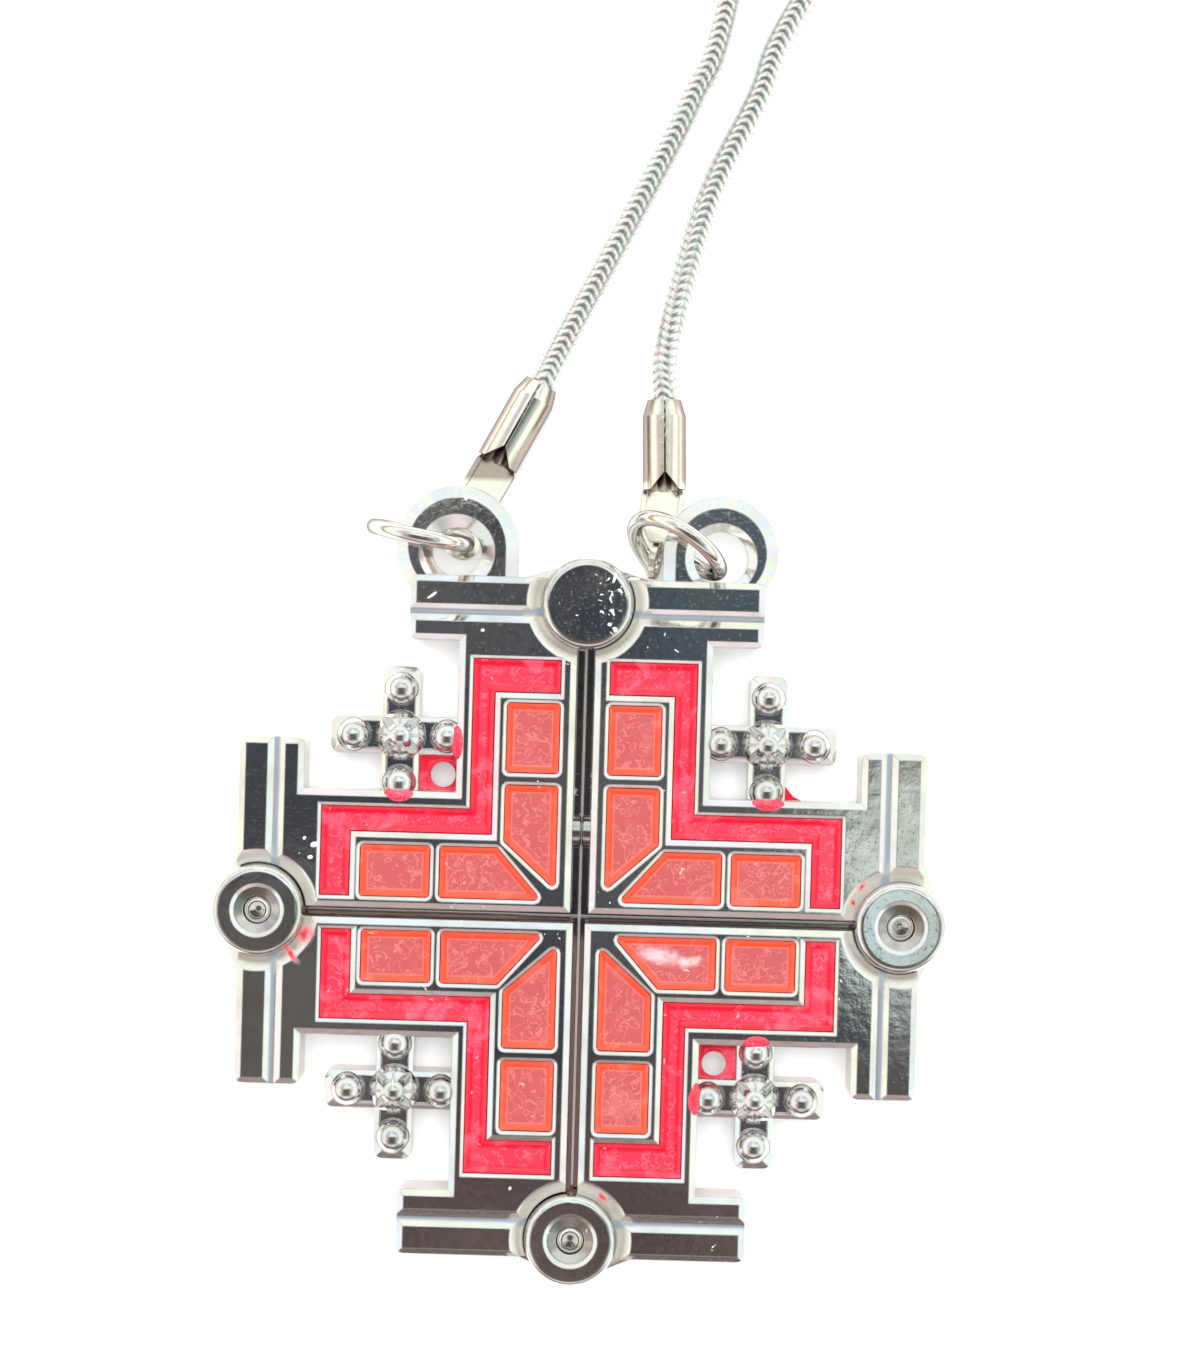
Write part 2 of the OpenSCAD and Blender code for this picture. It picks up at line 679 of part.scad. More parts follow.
// A rivet: flat head behind, shank through both eyes, bevelled hollow end in the counterbore
module rivet(r) {
    seat = eye_top - counterbore_depth;
    end_h = 0.46;
    end_bevel = 0.2;
    color("silver")
        translate([r[1][0], r[1][1], 0])
            difference() {
                union() {
                    translate([0, 0, 0.06]) cylinder(r = rivet_head_r, h = rivet_head_t - 0.06);
                    translate([0, 0, 0.1]) cylinder(r = rivet_r, h = seat + 0.3);
                    translate([0, 0, seat + gap])
                        cylinder(r = rivet_end_r, h = end_h - end_bevel * bevel_rise);
                    translate([0, 0, seat + gap + end_h - end_bevel * bevel_rise])
                        cylinder(r1 = rivet_end_r, r2 = rivet_end_r - end_bevel, h = end_bevel * bevel_rise);
                }
                translate([0, 0, seat + 0.1]) cylinder(r1 = 0.12, r2 = 0.5, h = end_h);
            }
}

// A catch magnet, half in its casting and half across the upper slot
module catch_magnet(s) {
    color("gray")
        mirror([s < 0 ? 1 : 0, 0, 0])
            translate([gap, magnet_at, magnet_z])
                rotate([0, 90, 0]) {
                    cylinder(r1 = magnet_r - 0.08, r2 = magnet_r, h = 0.08);
                    translate([0, 0, 0.08]) cylinder(r = magnet_r, h = magnet_len - 0.08);
                }
}

// Film of spilt enamel across the gap beside a small cross, with the hole that it dried round
module enamel_film(q, hole, hole_r) {
    color("crimson")
        in_quarter(q)
            translate([set_out(q), 0, 1.5])
                difference() {
                    translate([arm_half + gap, arm_half + gap, 0])
                        cube([inner_x - arm_half - 2 * gap, inner_y - arm_half - 2 * gap, 0.35]);
                    translate([hole[0], hole[1], -1])
                        cylinder(r = hole_r, h = 3);
                }
}

// Drop of spilt enamel in the corner between a small cross and the side arm
module enamel_spill() {
    corner_x = small_x + small_w / 2;
    color("crimson")
        translate([top_set_out + corner_x + gap, arm_half + gap, 1.2])
            linear_extrude(0.7)
                polygon([[0, 0], [0.9, 0], [0.45, 0.22], [0, 0.75]]);
}

// A closed tube swept along a path, its sides set out from a direction the path never runs in
module tube(path, radius, sides, level) {
    n = len(path);
    rings = [for (i = [0 : n - 1])
        let (
            ahead = path[min(i + 1, n - 1)] - path[max(i - 1, 0)],
            t = ahead / norm(ahead),
            across = cross(level, t) / norm(cross(level, t)),
            lift = cross(t, across)
        )
        [for (k = [0 : sides - 1])
            path[i] + radius * (cos(360 * k / sides) * across + sin(360 * k / sides) * lift)]];
    faces = concat(
        [[for (k = [0 : sides - 1]) k]],
        [for (i = [0 : n - 2], k = [0 : sides - 1])
            [i * sides + k, (i + 1) * sides + k, (i + 1) * sides + (k + 1) % sides, i * sides + (k + 1) % sides]],
        [[for (k = [sides - 1 : -1 : 0]) (n - 1) * sides + k]]
    );
    polyhedron(points = [for (ring = rings, p = ring) p], faces = faces);
}

// A jump ring of round wire, cut once: closed flat, or with its ends twisted apart
module jump_ring(r) {
    color("silver")
        translate(r[1])
            rotate([r[3], 0, r[2]])
                if (r[5] == 0)
                    rotate([0, 0, r[4]])
                        rotate_extrude(angle = 357)
                            translate([ring_r, 0]) circle(ring_wire_r);
                else
                    tube([for (i = [0 : 36])
                        let (a = 1.5 + 357 * i / 36)
                        [ring_r * cos(r[4] + a), ring_r * sin(r[4] + a), r[5] * (a / 180 - 1)]],
                        ring_wire_r, 12, [0, 0, 1]);
}

// Turns what is drawn along +Z into a direction
module along(v) {
    rotate([0, acos(v[2] / norm(v)), atan2(v[1], v[0])])
        children();
}

// An end cap: a crimped barrel that holds the chain's end, and a flat tab with turned-up sides
// that narrows to a neck and a thin eye
module end_cap(c) {
    v = c[2] - c[1];
    turn = atan2(v[1], v[0]);
    w = c[3] - c[2];
    run = norm(w);
    tab_turn = atan2(w[1], w[0]);
    flat_z = 0.02;
    root = 0.8;
    tab_end_z = flat_z + (root + run) * tab_rise + tab_t / 2;
    slope = [[1, 0, 0, 0], [0, 1, 0, 0], [tab_rise, 0, 1, root * tab_rise], [0, 0, 0, 1]];
    color("silver") {
        difference() {
            union() {
                translate([c[1][0], c[1][1], cap_r])
                    rotate([0, 90, turn]) {
                        cylinder(r1 = cap_mouth_r, r2 = cap_r, h = cap_taper);
                        translate([0, 0, cap_taper]) cylinder(r = cap_r, h = cap_len - cap_taper);
                    }
                translate([c[2][0], c[2][1], flat_z])
                    rotate([0, 0, tab_turn])
                        multmatrix(slope) {
                            linear_extrude(tab_t)
                                polygon([[-root, -0.6], [0.2, -tab_w / 2], [run - 1.2, -tab_w / 2],
                                         [run, -neck_w / 2], [run, neck_w / 2], [run - 1.2, tab_w / 2],
                                         [0.2, tab_w / 2], [-root, 0.6]]);
                            for (s = [-1, 1])
                                linear_extrude(tab_t + tab_side)
                                    polygon([[-0.3, s * 0.85], [0.2, s * (tab_w / 2 - 0.02)],
                                             [run - 1.2, s * (tab_w / 2 - 0.02)],
                                             [run - 0.3, s * (neck_w / 2 + 0.2)],
                                             [run - 1.3, s * (tab_w / 2 - 0.3)],
                                             [0.1, s * (tab_w / 2 - 0.3)]]);
                        }
            }
            translate([c[1][0], c[1][1], cap_r])
                rotate([0, 90, turn])
                    translate([0, 0, -1]) cylinder(r = cap_bore_r, h = cap_len + 1.05);
            translate([c[1][0], c[1][1], cap_r])
                rotate([0, 0, turn]) {
                    translate([-1, -0.05, 0]) cube([cap_len + 2, 0.1, 2]);
                    translate([0, 0, 0.1])
                        linear_extrude(2)
                            polygon([[cap_len - 1, 0], [cap_len + 0.2, -0.95], [cap_len + 0.2, 0.95]]);
                }
        }
        difference() {
            union() {
                translate(c[4]) along(c[5]) cylinder(r = tab_eye_r, h = tab_t, center = true);
                neck(c, tab_end_z);
            }
            translate(c[4]) along(c[5]) cylinder(r = tab_hole_r, h = 6, center = true);
        }
    }
}

// The neck of an end cap: a twisted strip drawn as the hull of the tab's end and the eye's rim
module neck(c, z) {
    w = c[3] - c[2];
    towards = [c[3][0], c[3][1], z] - c[4];
    n = c[5] / norm(c[5]);
    flat = towards - (towards * n) * n;
    rim = c[4] + (tab_eye_r - 0.2) * flat / norm(flat);
    hull() {
        translate([c[3][0], c[3][1], z])
            rotate([0, 0, atan2(w[1], w[0])])
                cube([0.3, neck_w, tab_t], center = true);
        translate(rim) along(n) cylinder(r = 0.2, h = tab_t, center = true, $fn = 16);
    }
}

// Smooth curve through the route's points, as the points of its steps
function spline_point(a, b, c, d, t) =
    0.5 * ((2 * b) + (c - a) * t + (2 * a - 5 * b + 4 * c - d) * t * t + (3 * b - a - 3 * c + d) * t * t * t);
function smooth_route(p) =
    let (n = len(p))
    concat(
        [for (i = [0 : n - 2], s = [0 : route_steps(i) - 1])
            spline_point(p[max(i - 1, 0)], p[i], p[i + 1], p[min(i + 2, n - 1)], s / route_steps(i))],
        [p[n - 1]]
    );

// One strand of the chain, as a tube of eight sides along its route
module chain_strand(points) {
    color("lightgray")
        tube(smooth_route(points), chain_r, 8, [0, 0, 1]);
}

// A plain barrel that takes both ends of the chain
module clasp() {
    across = RIGHT_ROUTE[15] - LEFT_ROUTE[15];
    color("silver")
        translate([CLASP_AT[0], CLASP_AT[1], clasp_r])
            rotate([0, 90, atan2(across[1], across[0])])
                difference() {
                    translate([0, 0, -clasp_len / 2]) cylinder(r = clasp_r, h = clasp_len);
                    for (s = [-1, 1])
                        translate([0, 0, s * clasp_len / 2])
                            cylinder(r = chain_r + 0.2, h = 3, center = true);
                }
}

for (q = QUARTERS) {
    quarter_casting(q);
    band_enamel(q);
    for (w = WINDOWS)
        window_enamel(q, w);
}
for (r = RIVETS)
    rivet(r);
catch_magnet(-1);  // catch_magnet_left
catch_magnet(1);  // catch_magnet_right
enamel_film(QUARTERS[0], [7.57, 7.72], 0.69);  // enamel_film_top_left
enamel_film(QUARTERS[3], [7.69, 7.96], 0.67);  // enamel_film_bottom_right
enamel_spill();  // enamel_spill_top_right
jump_ring(RINGS[0]);  // jump_ring_left
jump_ring(RINGS[1]);  // jump_ring_right
end_cap(CAPS[0]);  // end_cap_left
end_cap(CAPS[1]);  // end_cap_right
chain_strand(LEFT_ROUTE);  // chain_left
chain_strand(RIGHT_ROUTE);  // chain_right
clasp();
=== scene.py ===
# %% [markdown]
# # A folding cross pendant on a snake chain
# The pendant is four plated castings with red enamel, lying on a pale table and seen from straight above.
# The castings, rivets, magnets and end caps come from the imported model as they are. What follows gives them
# their finishes, and makes the things that need finer shapes: pools of enamel, the scales of the chain and
# wire rings.

import math

import bpy
import numpy as np
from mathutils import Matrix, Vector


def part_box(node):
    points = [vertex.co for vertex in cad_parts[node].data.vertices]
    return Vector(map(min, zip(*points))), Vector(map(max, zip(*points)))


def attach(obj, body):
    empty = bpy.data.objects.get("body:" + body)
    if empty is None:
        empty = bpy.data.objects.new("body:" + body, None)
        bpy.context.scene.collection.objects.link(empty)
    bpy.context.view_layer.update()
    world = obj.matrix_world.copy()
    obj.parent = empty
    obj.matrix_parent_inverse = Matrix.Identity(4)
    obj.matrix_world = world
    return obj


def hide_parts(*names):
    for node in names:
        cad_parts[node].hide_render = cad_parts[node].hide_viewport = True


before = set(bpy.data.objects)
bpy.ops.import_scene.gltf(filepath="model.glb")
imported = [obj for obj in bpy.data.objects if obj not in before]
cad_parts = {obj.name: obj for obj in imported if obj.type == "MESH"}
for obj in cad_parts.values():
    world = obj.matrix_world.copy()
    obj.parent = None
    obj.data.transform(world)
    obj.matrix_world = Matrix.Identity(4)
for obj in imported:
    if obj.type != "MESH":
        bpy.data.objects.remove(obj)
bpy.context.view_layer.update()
MM = 0.001
QUARTERS = ["top_left", "top_right", "bottom_left", "bottom_right"]
print("nodes:", len(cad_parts))

# %% [markdown]
# ## The camera
# The photograph looks straight down on the cross from about 150 mm, close enough for the raised parts to
# spread a little. A long lens further off would flatten that, so the distance is kept and the lens follows
# from how much of the table is in view. The picture is taller than wide, so the sensor's 36 mm belong to
# its height.

# %% Place the camera
VIEW_HEIGHT = 75.6 * MM
VIEW_DISTANCE = 150 * MM
VIEW_MIDDLE = (0.8 * MM, 13.0 * MM)
VIEW_TURN = 1.6
FACE_HEIGHT = 3 * MM
SENSOR = 36

camera_data = bpy.data.cameras.new("camera")
camera_data.sensor_width = SENSOR
camera_data.lens = SENSOR * VIEW_DISTANCE / VIEW_HEIGHT
camera_data.clip_start = 0.005
camera = bpy.data.objects.new("camera", camera_data)
camera.location = (*VIEW_MIDDLE, VIEW_DISTANCE + FACE_HEIGHT)
camera.rotation_euler = (0, 0, math.radians(VIEW_TURN))
bpy.context.scene.collection.objects.link(camera)
bpy.context.scene.camera = camera
bpy.context.scene.view_settings.view_transform = "Standard"
print("lens in mm:", round(camera_data.lens, 2))

# %% [markdown]
# ## Small tools for node trees
# Every finish below is a tree of nodes. These helpers keep each tree short: one adds a node and joins what
# it is given, the others are the sums and patterns that are used again and again. A mask is a value from 0
# to 1 that says where something is. Patterns are read in millimetres.

# %% Helpers for sums and colours
def add(tree, kind, inputs=None, **settings):
    """Adds a shader node, joins the sockets it is given and sets the plain values."""
    node = tree.nodes.new("ShaderNode" + kind)
    for name, value in settings.items():
        setattr(node, name, value)
    for socket, value in (inputs or {}).items():
        if isinstance(value, bpy.types.NodeSocket):
            tree.links.new(value, node.inputs[socket])
        else:
            node.inputs[socket].default_value = value
    return node


def math_node(tree, operation, first, second=0.0, clamp=False):
    """One sum, product or other operation on two values."""
    return add(tree, "Math", {0: first, 1: second}, operation=operation, use_clamp=clamp).outputs[0]


def times(tree, first, second):
    """The product of two values."""
    return math_node(tree, "MULTIPLY", first, second)


def plus(tree, first, second, clamp=False):
    """The sum of two values."""
    return math_node(tree, "ADD", first, second, clamp)


def larger(tree, first, second):
    """The larger of two values: for two masks, where either of them is."""
    return math_node(tree, "MAXIMUM", first, second)


def outside(tree, mask, clamp=False):
    """One minus a mask: where it isn't."""
    return math_node(tree, "SUBTRACT", 1.0, mask, clamp)


def unsigned(tree, value):
    """A value without its sign."""
    return math_node(tree, "ABSOLUTE", value)


def between(tree, value, low, high):
    """0 where the value is at low, 1 where it is at high, and smooth between them, whichever is larger."""
    node = add(tree, "MapRange", {0: value, 1: low, 2: high}, interpolation_type="SMOOTHSTEP")
    return node.outputs[0]


def blend(tree, amount, first, second):
    """A colour between two colours, by an amount from 0 to 1."""
    return add(tree, "Mix", {0: amount, 6: first, 7: second}, data_type="RGBA").outputs[2]


# %% Helpers for patterns
def noise(tree, place, scale, detail=2.0, distortion=0.0):
    """Soft noise from 0 to 1, with so many waves a millimetre."""
    inputs = {"Vector": place, "Scale": scale, "Detail": detail, "Distortion": distortion}
    return add(tree, "TexNoise", inputs).outputs[0]


def blotches(tree, place, scale, low, high, detail=2.0):
    """A mask of soft blotches: the part of a noise above a height between low and high."""
    return between(tree, noise(tree, place, scale, detail), low, high)


def millimetres(tree):
    """The place on the object in millimetres, from Object coordinates."""
    place = add(tree, "TexCoord").outputs["Object"]
    return add(tree, "Mapping", {"Vector": place, "Scale": (1 / MM, 1 / MM, 1 / MM)}).outputs[0]


def near(tree, place, centre, inner, outer):
    """1 inside a ball of the inner radius, in millimetres, falling to 0 at the outer one."""
    distance = add(tree, "VectorMath", {0: place, 1: centre}, operation="DISTANCE").outputs["Value"]
    return between(tree, distance, outer, inner)


def bump(tree, height, depth, before=None):
    """A normal tilted by a pattern whose highest points stand depth millimetres above its lowest."""
    inputs = {"Height": height, "Distance": depth * MM, "Strength": 1.0}
    if before:
        inputs["Normal"] = before
    return add(tree, "Bump", inputs).outputs[0]


# %% Helpers for materials
def socket(name):
    """A shader socket's name from a plain word, such as Base Color from base_color."""
    return name.replace("_", " ").title().replace("Ior", "IOR")


def new_material(name, **plain):
    """A material with one shader, whose plain values go straight onto the shader's sockets."""
    material = bpy.data.materials.new(name)
    material.use_nodes = True
    tree = material.node_tree
    tree.nodes.clear()
    shader = add(tree, "BsdfPrincipled", {socket(key): value for key, value in plain.items()})
    add(tree, "OutputMaterial", {"Surface": shader.outputs[0]})
    return material, tree, shader


def finish_shader(tree, shader, **inputs):
    """Joins the worked-out colour, roughness and normal to the shader."""
    for name, value in inputs.items():
        tree.links.new(value, shader.inputs[socket(name)])


# %% [markdown]
# ## The room
# Polished plating has hardly a colour of its own: it shows the room. In the photograph every level face is
# near black, because it mirrors what is over it, and every slope is white, because it mirrors the bright
# room around. Lamps and cards round the object could do that, and would take much trying. Here the world
# itself is painted: a dark hood overhead, and round it a bright ring. A direction has three parts: across
# from left to right, along from front to back, and upward.

# %% Directions and the hood
# Each edge of the hood, as the level part of a direction: where it is full and where it has ended
HOOD_SIDE = (0.30, 0.74)
HOOD_FRONT = (-0.60, -0.90)
HOOD_BACK = (0.072, 0.088)

world = bpy.data.worlds.new("studio")
bpy.context.scene.world = world
world.use_nodes = True
room = world.node_tree
room.nodes.clear()
direction = add(room, "TexCoord").outputs["Generated"]
across, along, upward = add(room, "SeparateXYZ", {0: direction}).outputs
level = add(room, "CombineXYZ", {0: across, 1: along}).outputs[0]
sideways = unsigned(room, across)

hood = between(room, upward, 0.0, 0.1)
for value, (full, ended) in [(sideways, HOOD_SIDE), (along, HOOD_FRONT), (along, HOOD_BACK)]:
    hood = times(room, hood, between(room, value, ended, full))
print("hood:", HOOD_SIDE, HOOD_FRONT, HOOD_BACK)

# %% [markdown]
# ## The bright ring
# The ring is warm on the left and in front and cool on the right and behind. The plating's thin film splits
# the light a little, so yellowish, bluish and pinkish tints are scattered over it. Slopes that face nearly
# up catch lavender patches.

# %% Paint the ring
WARM_LEFT = (1.16, 1.07, 1.00, 1)
COOL_RIGHT = (0.96, 1.16, 1.14, 1)
WARM_FRONT = (1.20, 1.14, 1.04, 1)
COOL_BACK = (0.96, 1.13, 1.22, 1)
YELLOWISH = (1.30, 1.26, 0.84, 1)
BLUISH = (0.92, 1.14, 1.30, 1)
PINKISH = (1.30, 1.02, 1.18, 1)
LAVENDER = (0.52, 0.50, 0.60, 1)

sides = blend(room, between(room, across, -0.8, 0.8), WARM_LEFT, COOL_RIGHT)
ends = blend(room, between(room, along, -0.9, 0.9), WARM_FRONT, COOL_BACK)
ring = blend(room, 0.5, sides, ends)

tints = blend(room, blotches(room, direction, 14.0, 0.38, 0.62, 3.0), YELLOWISH, BLUISH)
elsewhere = add(room, "Mapping", {"Vector": direction, "Location": (3.0, 1.0, 0.0)}).outputs[0]
tints = blend(room, blotches(room, elsewhere, 9.0, 0.52, 0.66), tints, PINKISH)
ring = blend(room, 0.6, ring, tints)

lavender = times(room, blotches(room, direction, 5.0, 0.42, 0.58), between(room, upward, 0.62, 0.74))
lavender = times(room, lavender, between(room, upward, 0.93, 0.87))
ring = blend(room, lavender, ring, LAVENDER)
print("nodes with the ring:", len(room.nodes))

# %% [markdown]
# ## Walls, front and back
# Low down are the walls, brown to the left and green to the right. They give every rounded edge its thin
# outline. In front the room is light above and brown further down, so the slopes that face the front darken
# from the top of the cross to its bottom. Just behind the hood lie pink-brown and yellow-green strips,
# which the barrels of the end caps show as long streaks.

# %% Paint the walls, the front and the strips behind
BROWN_WALL = (0.42, 0.28, 0.20, 1)
GREEN_WALL = (0.40, 0.56, 0.46, 1)
STRAW = (1.0, 0.86, 0.50, 1)
FRONT_LIGHT = (1.06, 0.95, 0.94, 1)
FRONT_BROWN = (0.62, 0.50, 0.48, 1)
FRONT_DEEP = (0.18, 0.15, 0.135, 1)
PINK_BROWN = (0.50, 0.36, 0.30, 1)
OFF_WHITE = (0.95, 0.93, 0.80, 1)
YELLOW_GREEN = (0.62, 0.72, 0.42, 1)

walls = blend(room, between(room, across, -0.4, 0.4), BROWN_WALL, GREEN_WALL)
walls = blend(room, blotches(room, direction, 7.0, 0.45, 0.60), walls, STRAW)
ring = blend(room, between(room, upward, 0.30, 0.10), ring, walls)

front = blend(room, between(room, upward, 0.46, 0.37), FRONT_LIGHT, FRONT_BROWN)
front = blend(room, between(room, upward, 0.35, 0.25), front, FRONT_DEEP)
ring = blend(room, between(room, along, -0.55, -0.80), ring, front)

stretched = add(room, "Mapping", {"Vector": level, "Scale": (16.0, 3.0, 1.0)}).outputs[0]
streaky = noise(room, stretched, 1.0)
streaks = blend(room, between(room, streaky, 0.36, 0.48), PINK_BROWN, OFF_WHITE)
streaks = blend(room, between(room, streaky, 0.54, 0.66), streaks, YELLOW_GREEN)
behind = times(room, between(room, along, 0.075, 0.09), between(room, along, 0.20, 0.12))
behind = times(room, behind, between(room, sideways, 0.70, 0.45))
ring = blend(room, times(room, behind, 0.8), ring, streaks)
print("nodes with the walls:", len(room.nodes))

# %% [markdown]
# ## The dark overhead
# A level face shows one small piece of the hood, and which piece depends on where on the pendant it lies.
# So the hood is a small map of the pendant: bluish black in the middle, a pale mottled patch over the right
# arm, teal and olive patches, brown over the bottom arm, and brown and green flanks for the beads and
# rings.

# %% Paint the dark overhead
MIDNIGHT = (0.040, 0.046, 0.058, 1)
SMOKE = (0.125, 0.118, 0.120, 1)
SLATE = (0.160, 0.170, 0.185, 1)
TEAL = (0.085, 0.125, 0.140, 1)
LICHEN = (0.44, 0.50, 0.44, 1)
PALE_GREEN = (1.05, 1.10, 0.98, 1)
ICE = (0.62, 0.90, 0.95, 1)
DEEP_BROWN = (0.085, 0.062, 0.060, 1)
DULL_BROWN = (0.170, 0.130, 0.122, 1)
KHAKI = (0.150, 0.132, 0.098, 1)
OLIVE = (0.150, 0.140, 0.125, 1)
BROWN_FLANK = (0.30, 0.22, 0.19, 1)
GREEN_FLANK = (0.20, 0.29, 0.25, 1)


def patched(under, tone, centre, inner, outer, share=1.0):
    """A colour with a share of a tone over it in a round patch of directions."""
    return blend(room, times(room, near(room, level, (*centre, 0.0), inner, outer), share), under, tone)


dark = blend(room, blotches(room, level, 9.0, 0.40, 0.66, 3.0), MIDNIGHT, SMOKE)
dark = blend(room, blotches(room, level, 34.0, 0.50, 0.72, 3.0), dark, SLATE)
dark = patched(dark, TEAL, centre=(0.050, 0.032), inner=0.020, outer=0.055, share=0.8)
mottled = blend(room, blotches(room, level, 60.0, 0.35, 0.65, 3.0), LICHEN, PALE_GREEN)
dark = patched(dark, mottled, centre=(0.130, -0.068), inner=0.032, outer=0.064)
dark = patched(dark, ICE, centre=(0.113, -0.087), inner=0.012, outer=0.026, share=0.6)

browns = blend(room, blotches(room, level, 26.0, 0.40, 0.62, 3.0), DEEP_BROWN, DULL_BROWN)
browns = blend(room, between(room, along, -0.212, -0.224), browns, KHAKI)
dark = blend(room, between(room, along, -0.130, -0.175), dark, browns)
dark = patched(dark, OLIVE, centre=(-0.125, -0.120), inner=0.035, outer=0.070, share=0.8)

flanks = blend(room, between(room, across, -0.2, 0.2), BROWN_FLANK, GREEN_FLANK)
dark = blend(room, between(room, sideways, 0.17, 0.45), dark, flanks)
light = add(room, "Background", {"Color": blend(room, hood, ring, dark), "Strength": 1.0})
add(room, "OutputWorld", {"Surface": light.outputs[0]})
print("nodes in the room:", len(room.nodes))

# %% [markdown]
# ## Softboxes
# The painted room alone would leave the table and the enamel uneven. Two big soft lights even them out.
# Mirrors and the camera don't see them, so they leave no square highlights on the plating.

# %% Hang the softboxes
def softbox(name, power, size, place, tint):
    """A square soft light that points at the cross."""
    data = bpy.data.lights.new(name, "AREA")
    data.energy = power
    data.size = size
    data.color = tint
    box = bpy.data.objects.new(name, data)
    box.location = place
    pointing = -box.location
    box.rotation_euler = pointing.to_track_quat("-Z", "Y").to_euler()
    box.visible_glossy = False
    box.visible_camera = False
    bpy.context.scene.collection.objects.link(box)


softbox("softbox_over", power=3.0, size=0.5, place=(0.02, 0.1, 0.6), tint=(1.0, 0.99, 0.98))
softbox("softbox_side", power=0.9, size=0.4, place=(-0.45, 0.35, 0.4), tint=(1.0, 0.97, 0.95))

# %% [markdown]
# ## The table
# A plain pale table, a little below the pieces' lowest points. It is matt, with a faint grain so that it
# isn't one flat colour. The photograph's table is so bright that it has hardly a shadow, so it also glows a
# little.

# %% Lay the table
TABLE_HALF = 1.5
TABLE_TOP = -0.02 * MM
TABLE_GLOW = 0.2
TABLE_PALE = (0.94, 0.94, 0.94, 1)
TABLE_GREY = (0.90, 0.90, 0.90, 1)
table_sides = [(-1, -1), (1, -1), (1, 1), (-1, 1)]
table_corners = [(x * TABLE_HALF, y * TABLE_HALF, TABLE_TOP) for x, y in table_sides]
table_mesh = bpy.data.meshes.new("table")
table_mesh.from_pydata(table_corners, [], [(0, 1, 2, 3)])
table = bpy.data.objects.new("table", table_mesh)
bpy.context.scene.collection.objects.link(table)

pale, tree, shader = new_material("pale_table", roughness=0.7, specular_ior_level=0.2,
                                  emission_color=(1, 1, 1, 1), emission_strength=TABLE_GLOW)
grain = noise(tree, millimetres(tree), 0.8, 5.0)
finish_shader(tree, shader, base_color=blend(tree, grain, TABLE_GREY, TABLE_PALE))
table_mesh.materials.append(pale)
print("table top in mm:", TABLE_TOP / MM)

# %% [markdown]
# ## Marks on plating
# The castings are zinc, polished and plated. Up close the plating is not perfect: it has hairline
# scratches, white specks of dust, and a little red enamel that strayed onto it. Painted textures could
# carry such marks, but they would blur up close and need a picture. These are masks worked out from noise
# at each point instead.

# %% Scratches, specks and patches
RAGGED = 0.9


def scratches(tree, place, turn, scale):
    """Thin straight lines, all nearly one way: noise that is stretched 40 times along one direction."""
    inputs = {"Vector": place, "Rotation": (0, 0, turn), "Scale": (scale, scale / 40, 1)}
    drawn_out = add(tree, "Mapping", inputs).outputs[0]
    return blotches(tree, drawn_out, 3.0, 0.66, 0.72, 3.0)


def speck_mask(tree, place, scale, share):
    """Small uneven spots: the peaks of a fine noise, with rough edges. A larger share gives more."""
    spots = noise(tree, place, scale, 4.0, 0.6)
    return between(tree, spots, 0.78 - share, 0.82 - share)


def patch(tree, place, centre, half_length, half_width, turn, full=0.7):
    """1 inside a level oval with a ragged edge, falling to 0 from full of its size outwards. The place is
    turned and shrunk until the oval is a unit ball round the origin, and noise moves the distance from
    there."""
    centred = add(tree, "VectorMath", {0: place, 1: centre}, operation="SUBTRACT").outputs[0]
    turning = {"Vector": centred, "Angle": -turn}
    aligned = add(tree, "VectorRotate", turning, rotation_type="Z_AXIS").outputs[0]
    shrinking = (1 / half_length, 1 / half_width, 0.5)
    shrunk = add(tree, "VectorMath", {0: aligned, 1: shrinking}, operation="MULTIPLY").outputs[0]
    distance = add(tree, "VectorMath", {0: shrunk}, operation="LENGTH").outputs["Value"]
    ragged = times(tree, noise(tree, place, 2.6, 3.0), RAGGED)
    return between(tree, plus(tree, distance, ragged), 1 + RAGGED / 2, full + RAGGED / 2)


def dusty(tree, place, specks, dirt):
    """A mask of white specks: a few everywhere, a sprinkling at each row of specks, and each mark."""
    spots = speck_mask(tree, place, 2.3, 0.050)
    for centre, reach, share in specks:
        in_reach = near(tree, place, centre, reach * 0.5, reach)
        spots = larger(tree, spots, times(tree, speck_mask(tree, place, 2.6, share), in_reach))
    for mark in dirt:
        spots = larger(tree, spots, patch(tree, place, *mark))
    return spots


def smeared(tree, place, smears):
    """A mask of smears of enamel, which have harder edges than dirt."""
    red = 0.0
    for mark in smears:
        red = larger(tree, patch(tree, place, *mark, 0.1), red)
    return red


# %% [markdown]
# ## Worn and dull places, painted shade and painted reflections
# Polishing reaches only what stands proud. On the castings, the slots between them are painted dark as
# shade, and the lower and left slots are bare metal. The counterbores, the hollows round the eyes and the
# floors of the crossbars' grooves are dull, and the grooves' floors also get a painted steel-blue reflection.
# On the end caps the low sides of the barrels get a painted brown reflection. Each such place is a mask
# from a distance in millimetres, so it lands where the model has the slot, hollow or groove.

# %% Places and tones of what is worn and dull, and of painted shade and painted reflections
PIVOTS = [(-17.8, 0.0), (17.8, 0.0), (0.0, -17.8)]
CATCH = (0.0, 17.45)
EYE_Z = 2.6
BORE_Z = 2.9
GROOVE_AT = 16.9
# Each pair is where a mask begins and where it is full
SLOT_HALF = (0.50, 0.36)
SLOT_BELOW = (2.5, 2.1)
LOWER_SLOT = (-0.5, -2.0)
LEFT_SLOT = (-2.0, -4.0)
GROOVE_HALF = (0.32, 0.10)
GROOVE_BELOW = (2.86, 2.80)
HOLLOW_BELOW = (2.96, 2.90)
HOLLOW_ABOVE = (2.0, 2.3)
BARRELS_FROM = (24.1, 24.5)
BARREL_SIDE_REFLECTION_FADES = 0.30
